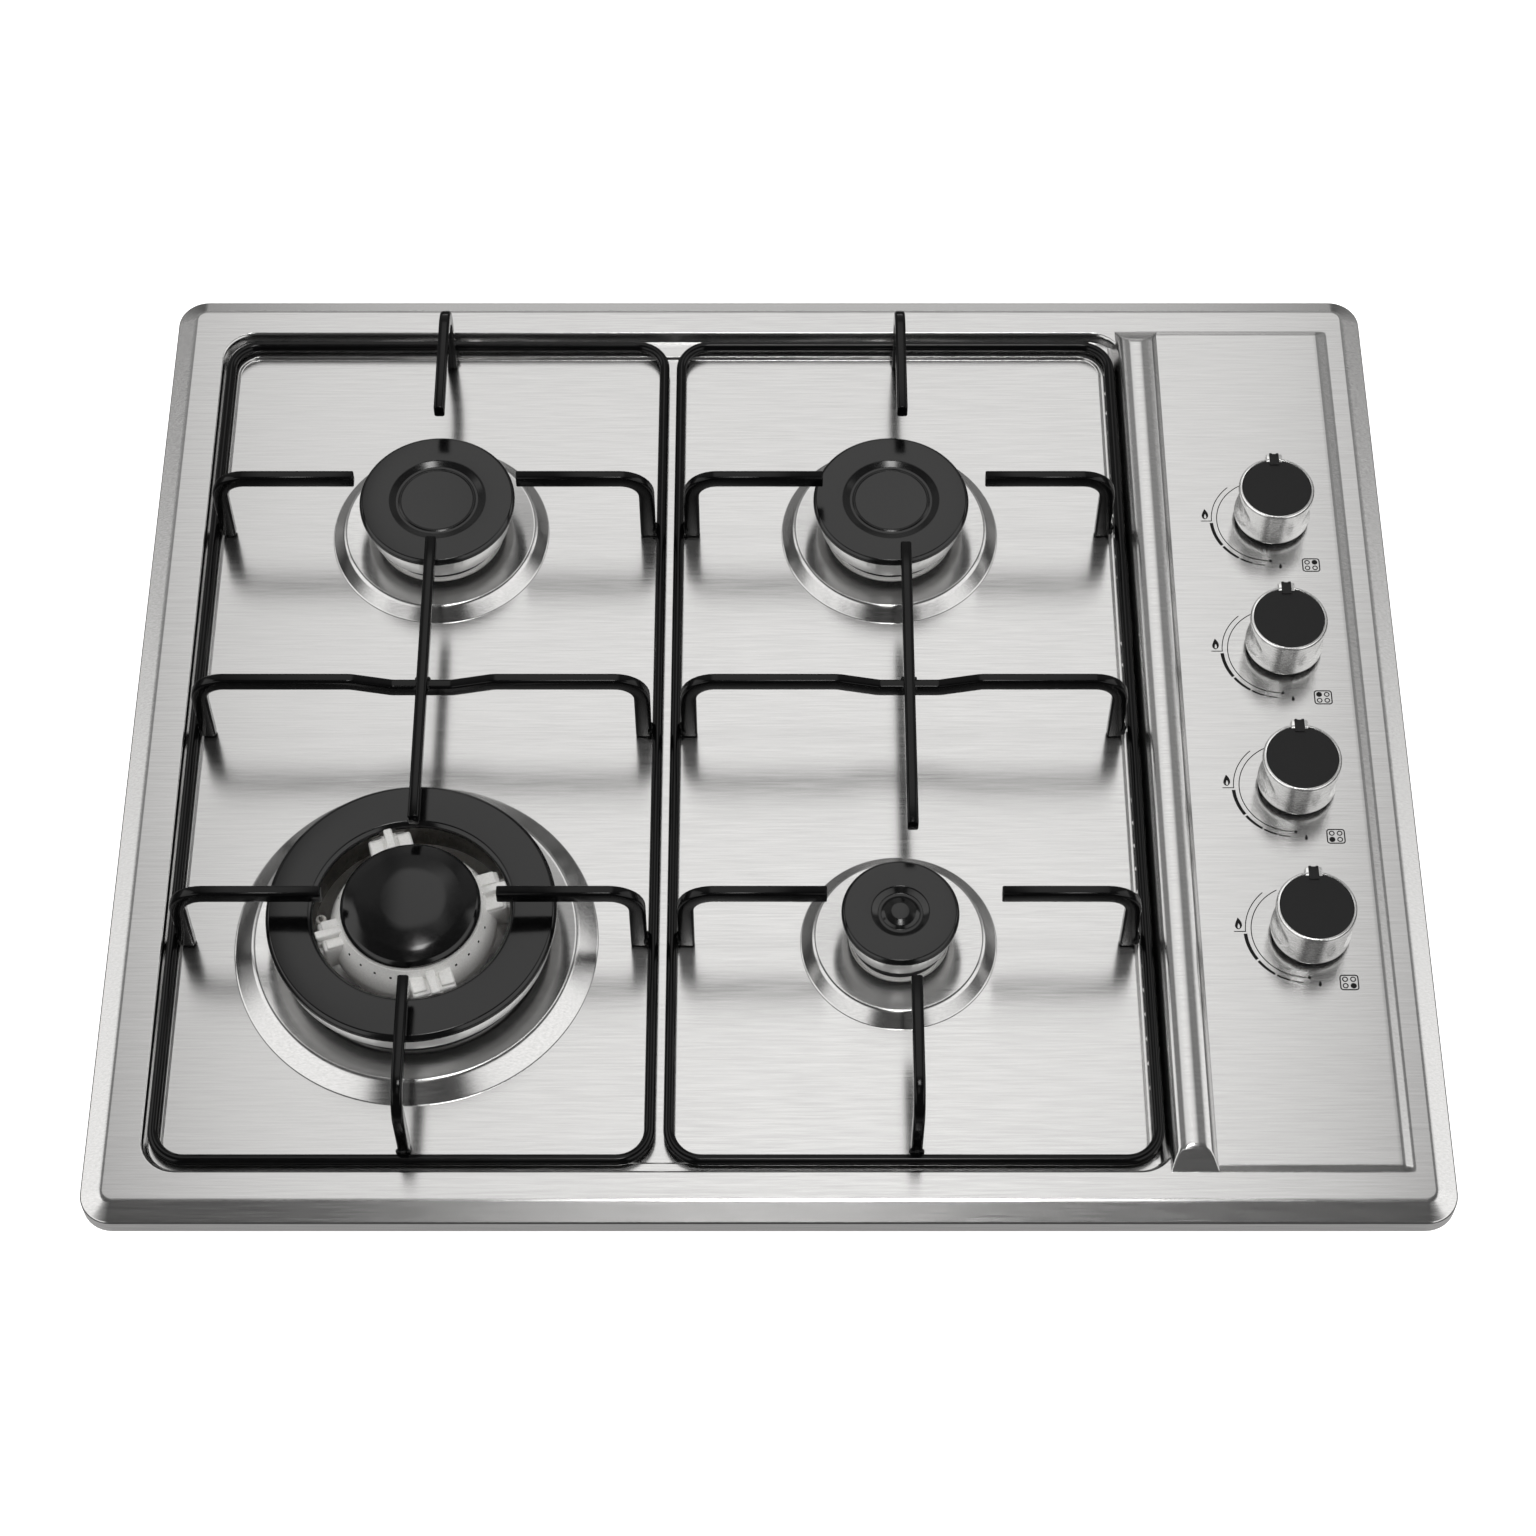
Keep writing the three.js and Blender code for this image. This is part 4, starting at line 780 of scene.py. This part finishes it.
for k, (ex, ey) in EL_POS.items():
    z = 74.6 if k == "wok" else 66.0
    out = Buf()
    out.add(*turned(rounded([[0, 40], [2.7, 40], [2.7, 55], [2.35, 55.6], [2.35, z - 0.5], [1.9, z], [1.15, z], [1.0, z - 0.6], [0, z - 0.6]],
                            [0, 0.3, 0.3, 0.3, 0.4, 0.4, 0.2, 0, 0], 3), ex, ey, 40, closed=False), 0)
    out.add(*turned(rounded([[0, z - 4], [0.85, z - 4], [0.85, z + 1.6], [0.5, z + 2.8], [0, z + 2.8]], [0, 0, 0.3, 0.2, 0], 3), ex, ey, 24, closed=False), 1)
    out.put(f"{k}_electrode_look", "cooktop", "electrode_ceramic", [M_CERAMIC, M_PIN], f"{k}_electrode", angle=40)

# ---------------------------------------------------------------- knobs

SHELL = [[0, 75.5], [4.5, 75.5], [4.5, 65], [7, 65], [7, 75.2], [15.9, 75.2], [15.8, 61.8], [16.8, 61.35], [17.5, 61.5]]
SHELL += [[17.75 - 0.2 * f, 62.1 + 18.3 * f] for f in np.linspace(0, 1, 30)]
SHELL += [[17.5, 81.0], [17.3, 81.5], [16.95, 81.85], [16.5, 81.95], [16.2, 81.8], [16.05, 81.4], [16.05, 79.2], [0, 79.2]]


def scoop(r, a, z):
    if r < 17.45 or z < 62.2 or z > 80.3:
        return r, z
    for c in (0.0, math.pi):
        da = (a - c + math.pi) % (2 * math.pi) - math.pi
        d = (da / rad(46)) ** 2 + ((z - 71.0) / 8.2) ** 2
        if d < 1:
            return r - 2.3 * (1 - d) ** 0.8, z
    return r, z


for k, ky in KNOB_Y.items():
    shell = Buf()
    shell.add(*turned(SHELL, KNOB_X, ky, 240, closed=False, shape=scoop))
    # lug that carries the pointer
    shell.add(*box((7.4, 4.4, 3.0), 0.45, Matrix.Translation((KNOB_X, ky + 17.3, 80.35))))
    shell.put(f"{k}_knob_shell_look", f"{k}_knob", "knob_satin", M_SATIN, f"{k}_knob_shell", angle=32)
    ins = Buf()
    ins.add(*turned(rounded([[0, 79.3], [15.95, 79.3], [15.95, 81.4], [15.6, 81.55], [0, 81.65]], [0, 0, 0.1, 0.2, 0], 4), KNOB_X, ky, 128, closed=False))
    ins.add(*box((4.5, 6.3, 2.2), 0.3, Matrix.Translation((KNOB_X, ky + 16.5, 81.1))))
    for s in (-1, 1):
        ins.add(*box((1.3, 1.3, 2.2), 0.3, Matrix.Translation((KNOB_X + s * 1.55, ky + 19.3, 81.3))))
    ins.put(f"{k}_knob_insert_look", f"{k}_knob", "knob_black", M_INSERT, f"{k}_knob_insert", angle=40)
    seal = rounded([[5.6, 58.5], [15.5, 58.5], [15.5, 60.0], [14.4, 60.9], [12.5, 61.4], [5.6, 61.4]], [0.2, 0.3, 0.5, 0.5, 0.5, 0.2], 4, closed=True)
    Buf().add(*turned(seal, KNOB_X, ky, 96, closed=True)).put(f"{k}_knob_seal_look", "cooktop", "seal_rubber", M_RUBBER, f"{k}_knob_seal", angle=50)

# ---------------------------------------------------------------- printed marks

Z_P0, Z_P1 = Z_PANEL - 0.05, Z_PANEL + 0.03


def prism(buf, poly):
    n = len(poly)
    v = [(px, py, Z_P0) for px, py in poly] + [(px, py, Z_P1) for px, py in poly]
    f = [tuple(range(n))[::-1], tuple(range(n, 2 * n))]
    f += [(i, (i + 1) % n, n + (i + 1) % n, n + i) for i in range(n)]
    buf.add(v, f)


def band(buf, outer, inner, closed=True):
    """A flat band between two lines of equal count."""
    n = len(outer)
    v = [(*p, Z_P1) for p in outer] + [(*p, Z_P1) for p in inner] + [(*p, Z_P0) for p in outer] + [(*p, Z_P0) for p in inner]
    f = []
    for i in range(n if closed else n - 1):
        j = (i + 1) % n
        f += [(i, j, n + j, n + i), (2 * n + i, 3 * n + i, 3 * n + j, 2 * n + j),
              (i, 2 * n + i, 2 * n + j, j), (n + i, n + j, 3 * n + j, 3 * n + i)]
    if not closed:
        f += [(0, n, 3 * n, 2 * n), (n - 1, 3 * n - 1, 4 * n - 1, 2 * n - 1)]
    buf.add(v, f)


def arc_mark(buf, cx, cy, r, a0, a1, w0, w1, n=None):
    n = n or max(6, int(abs(a1 - a0) / 3))
    o, i = [], []
    for k in range(n + 1):
        f = k / n
        a, w = rad(a0 + (a1 - a0) * f), w0 + (w1 - w0) * f
        o.append((cx + (r + w / 2) * math.cos(a), cy + (r + w / 2) * math.sin(a)))
        i.append((cx + (r - w / 2) * math.cos(a), cy + (r - w / 2) * math.sin(a)))
    band(buf, o, i, closed=False)


def ring_mark(buf, cx, cy, r, w, n=28):
    pt = lambda q: [(cx + q * math.cos(2 * math.pi * k / n), cy + q * math.sin(2 * math.pi * k / n)) for k in range(n)]
    band(buf, pt(r + w / 2), pt(r - w / 2))


def dot(buf, cx, cy, r, n=24):
    prism(buf, [(cx + r * math.cos(2 * math.pi * k / n), cy + r * math.sin(2 * math.pi * k / n)) for k in range(n)])


def flame(cx, y0, h, w, n=28):
    """Outline of a flame standing on y0."""
    out = []
    for k in range(n):
        t = 2 * math.pi * k / n
        s = 0.5 - 0.5 * math.cos(t)               # 0 at the foot, 1 at the tip
        half = w / 2 * math.sin(math.pi * min(1, (1 - (1 - s) ** 0.9)) ** 0.62) if 0 < s < 1 else 0.0
        out.append((cx + (half if t < math.pi else -half) + 0.12 * w * math.sin(math.pi * s) * s, y0 + h * s))
    return out


marks = Buf()
FILLED = {"rear_right": 1, "rear_left": 0, "wok": 2, "front_right": 3}
for i, k in enumerate(("rear_right", "rear_left", "wok", "front_right")):
    cx, cy = 234.5, 111.1 - 73.8 * i
    arc_mark(marks, cx, cy, 25.6, 131, 180.4, 0.42, 0.42)
    arc_mark(marks, cx, cy, 23.1, 117, 268, 0.42, 0.42)
    for a0, a1, w0, w1 in ((183, 213.5, 1.6, 1.5), (215.5, 236.5, 1.3, 1.1), (238.5, 252, 0.85, 0.7), (254, 265, 0.5, 0.4)):
        arc_mark(marks, cx, cy, 25.75, a0, a1, w0, w1)
    prism(marks, [(cx - 30.6, cy - 0.45), (cx - 25.4, cy - 0.45), (cx - 25.4, cy - 0.03), (cx - 30.6, cy - 0.03)])
    big = flame(cx - 28.6, cy + 0.8, 5.9, 3.1)
    small = flame(cx - 28.45, cy + 1.2, 2.6, 1.0)
    band(marks, big, small)
    dot(marks, cx + 0.5, cy - 23.2, 0.75)
    prism(marks, flame(cx + 4.9, cy - 27.6, 2.9, 1.4, 20))
    # burner locator: a frame with four rings, one of them filled
    ix, iy = 253.8 - 0.55 * i, 85.5 - 73.8 * i
    q = lambda d: rr_line(ix - 3.9 - d, ix + 3.9 + d, iy - 3.55 - d, iy + 3.55 + d, 1.2 + d, arc=5)
    NX, NY = 4, 4
    band(marks, q(0.28), q(-0.28))
    for j, (sx, sy) in enumerate(((-1, 1), (1, 1), (-1, -1), (1, -1))):
        if FILLED[k] == j:
            dot(marks, ix + 1.75 * sx, iy + 1.6 * sy, 1.35)
        else:
            ring_mark(marks, ix + 1.75 * sx, iy + 1.6 * sy, 1.05, 0.5)
marks.put("panel_marks", "cooktop", None, M_PRINT, angle=30)

# ---------------------------------------------------------------- the CAD parts that keep their own shape

LOOKS = {
    "stainless_top": M_STEEL, "support_enamel": M_ENAMEL, "cap_enamel": M_CAP, "burner_aluminium": M_CAST,
    "electrode_ceramic": M_CERAMIC, "gas_brass": M_BRASS, "knob_satin": M_SATIN, "knob_black": M_INSERT,
    "seal_rubber": M_RUBBER, "tap_aluminium": M_TAP, "housing_black": M_HOUSING, "galvanised_steel": M_ZINC,
}


def look_of(name):
    for part, m in (("injector", M_BRASS), ("plug", M_BRASS), ("stem", M_BRASS), ("elbow", M_BRASS), ("tap_body", M_TAP),
                    ("rail", M_TAP), ("pipe", M_TAP), ("tray", M_ZINC), ("clamp", M_ZINC), ("seal", M_RUBBER),
                    ("generator", M_HOUSING), ("gland", M_HOUSING), ("electrode", M_CERAMIC), ("cup", M_CAST), ("head", M_CAST),
                    ("cap", M_CAP), ("shell", M_SATIN), ("insert", M_INSERT), ("support", M_ENAMEL), ("top", M_STEEL)):
        if part in name:
            return m
    return M_ZINC


for name, o in NODES.items():
    o.data.materials.clear()
    o.data.materials.append(look_of(name))

# ---------------------------------------------------------------- floor, light and camera

me = bpy.data.meshes.new("floor")
me.from_pydata([(-6, -6, -0.001), (6, -6, -0.001), (6, 6, -0.001), (-6, 6, -0.001)], [], [(0, 1, 2, 3)])
floor = bpy.data.objects.new("floor", me)
scene.collection.objects.link(floor)
fm = bpy.data.materials.new("floor")
fm.use_nodes = True
fb = fm.node_tree.nodes["Principled BSDF"]
fb.inputs["Base Color"].default_value = (0.9, 0.9, 0.9, 1)
fb.inputs["Roughness"].default_value = 0.8
fb.inputs["Specular IOR Level"].default_value = 0.0
fb.inputs["Emission Color"].default_value = (1, 1, 1, 1)
fb.inputs["Emission Strength"].default_value = 0.9
me.materials.append(fm)
floor.visible_glossy = False

world = bpy.data.worlds.new("studio")
scene.world = world
world.use_nodes = True
wt = world.node_tree
bg = wt.nodes["Background"]
tc = wt.nodes.new("ShaderNodeTexCoord")
DIR = tc.outputs["Generated"]


def wmath(op, a, b=None, c=None):
    n = wt.nodes.new("ShaderNodeMath")
    n.operation = op
    for i, v in enumerate((a, b, c)):
        if v is None:
            continue
        if isinstance(v, (int, float)):
            n.inputs[i].default_value = v
        else:
            wt.links.new(v, n.inputs[i])
    return n.outputs[0]


def smooth(value, a, b):
    n = wt.nodes.new("ShaderNodeMapRange")
    n.interpolation_type = "SMOOTHSTEP"
    n.inputs["From Min"].default_value = a
    n.inputs["From Max"].default_value = b
    wt.links.new(value, n.inputs["Value"])
    return n.outputs["Result"]


def between(value, lo, hi, soft_lo, soft_hi=None):
    """1 between two angles in degrees, with soft edges."""
    soft_hi = soft_lo if soft_hi is None else soft_hi
    return wmath("MULTIPLY", smooth(value, rad(lo - soft_lo), rad(lo + soft_lo)),
                 smooth(value, rad(hi + soft_hi), rad(hi - soft_hi)))


sep = wt.nodes.new("ShaderNodeSeparateXYZ")
wt.links.new(DIR, sep.inputs[0])
DX, DY, DZ = sep.outputs
PHI = wmath("ARCSINE", DX)                                       # to the right of the middle plane
PSI = wmath("ARCTAN2", DZ, DY)                                   # 0 at the rear, 90 overhead, 180 at the front
EL = wmath("ARCSINE", DZ)                                        # above the horizon
AZ = wmath("ABSOLUTE", wmath("ARCTAN2", DX, wmath("MULTIPLY", DY, -1.0)))   # 0 at the front, 180 at the rear, both sides


def lit(strength, *masks):
    out = masks[0]
    for m in masks[1:]:
        out = wmath("MULTIPLY", out, m)
    return wmath("MULTIPLY", out, strength)


above = smooth(DZ, -0.02, 0.03)
total = wmath("ADD", wmath("MULTIPLY", smooth(DY, -0.25, 0.5), 0.08), 0.09)
total = wmath("ADD", total, lit(0.25, between(AZ, 166, 200, 8), between(EL, 9, 42, 4)))
# the key panel, high at the rear, and the bright line it leaves along the rear horizon
total = wmath("ADD", total, lit(1.1, between(PHI, -11.0, 11.0, 3.5), between(PSI, 43, 76, 5, 7)))
total = wmath("ADD", total, lit(1.6, between(PHI, -9, 9, 4), between(PSI, -4, 7, 2, 3)))
# a lamp overhead and a small panel in front of it
total = wmath("ADD", total, lit(14.0, between(PHI, -1.9, 4.9, 1.5), between(PSI, 85, 97, 2)))
total = wmath("ADD", total, lit(0.8, between(PHI, -5.0, 2.5, 1.5), between(PSI, 106, 124, 4)))
# the two side panels and the dim walls between them and the key panel
total = wmath("ADD", total, lit(1.3, between(AZ, 27, 127, 3.5), between(EL, 14, 52, 4, 4)))
total = wmath("ADD", total, lit(0.2, between(AZ, 134, 160, 4), between(EL, 8, 58, 8)))
# below the horizon: dark close to it, the table light below the object
ground = wmath("ADD", lit(0.42, smooth(EL, rad(-18), rad(-62))), 0.06)
total = wmath("ADD", wmath("MULTIPLY", total, above), wmath("MULTIPLY", ground, wmath("SUBTRACT", 1.0, above)))
wt.links.new(total, bg.inputs["Strength"])
bg.inputs["Color"].default_value = (1.0, 0.995, 0.985, 1)

cam = bpy.data.cameras.new("camera")
cam.lens = 81.16
cam.sensor_width = 36
cam.clip_end = 30
camera = bpy.data.objects.new("camera", cam)
scene.collection.objects.link(camera)
camera.location = (-0.00036, -0.84964, 1.38530)
camera.rotation_euler = (0.5553, 0, 0)
scene.camera = camera
scene.view_settings.view_transform = "Standard"

bpy.context.view_layer.update()
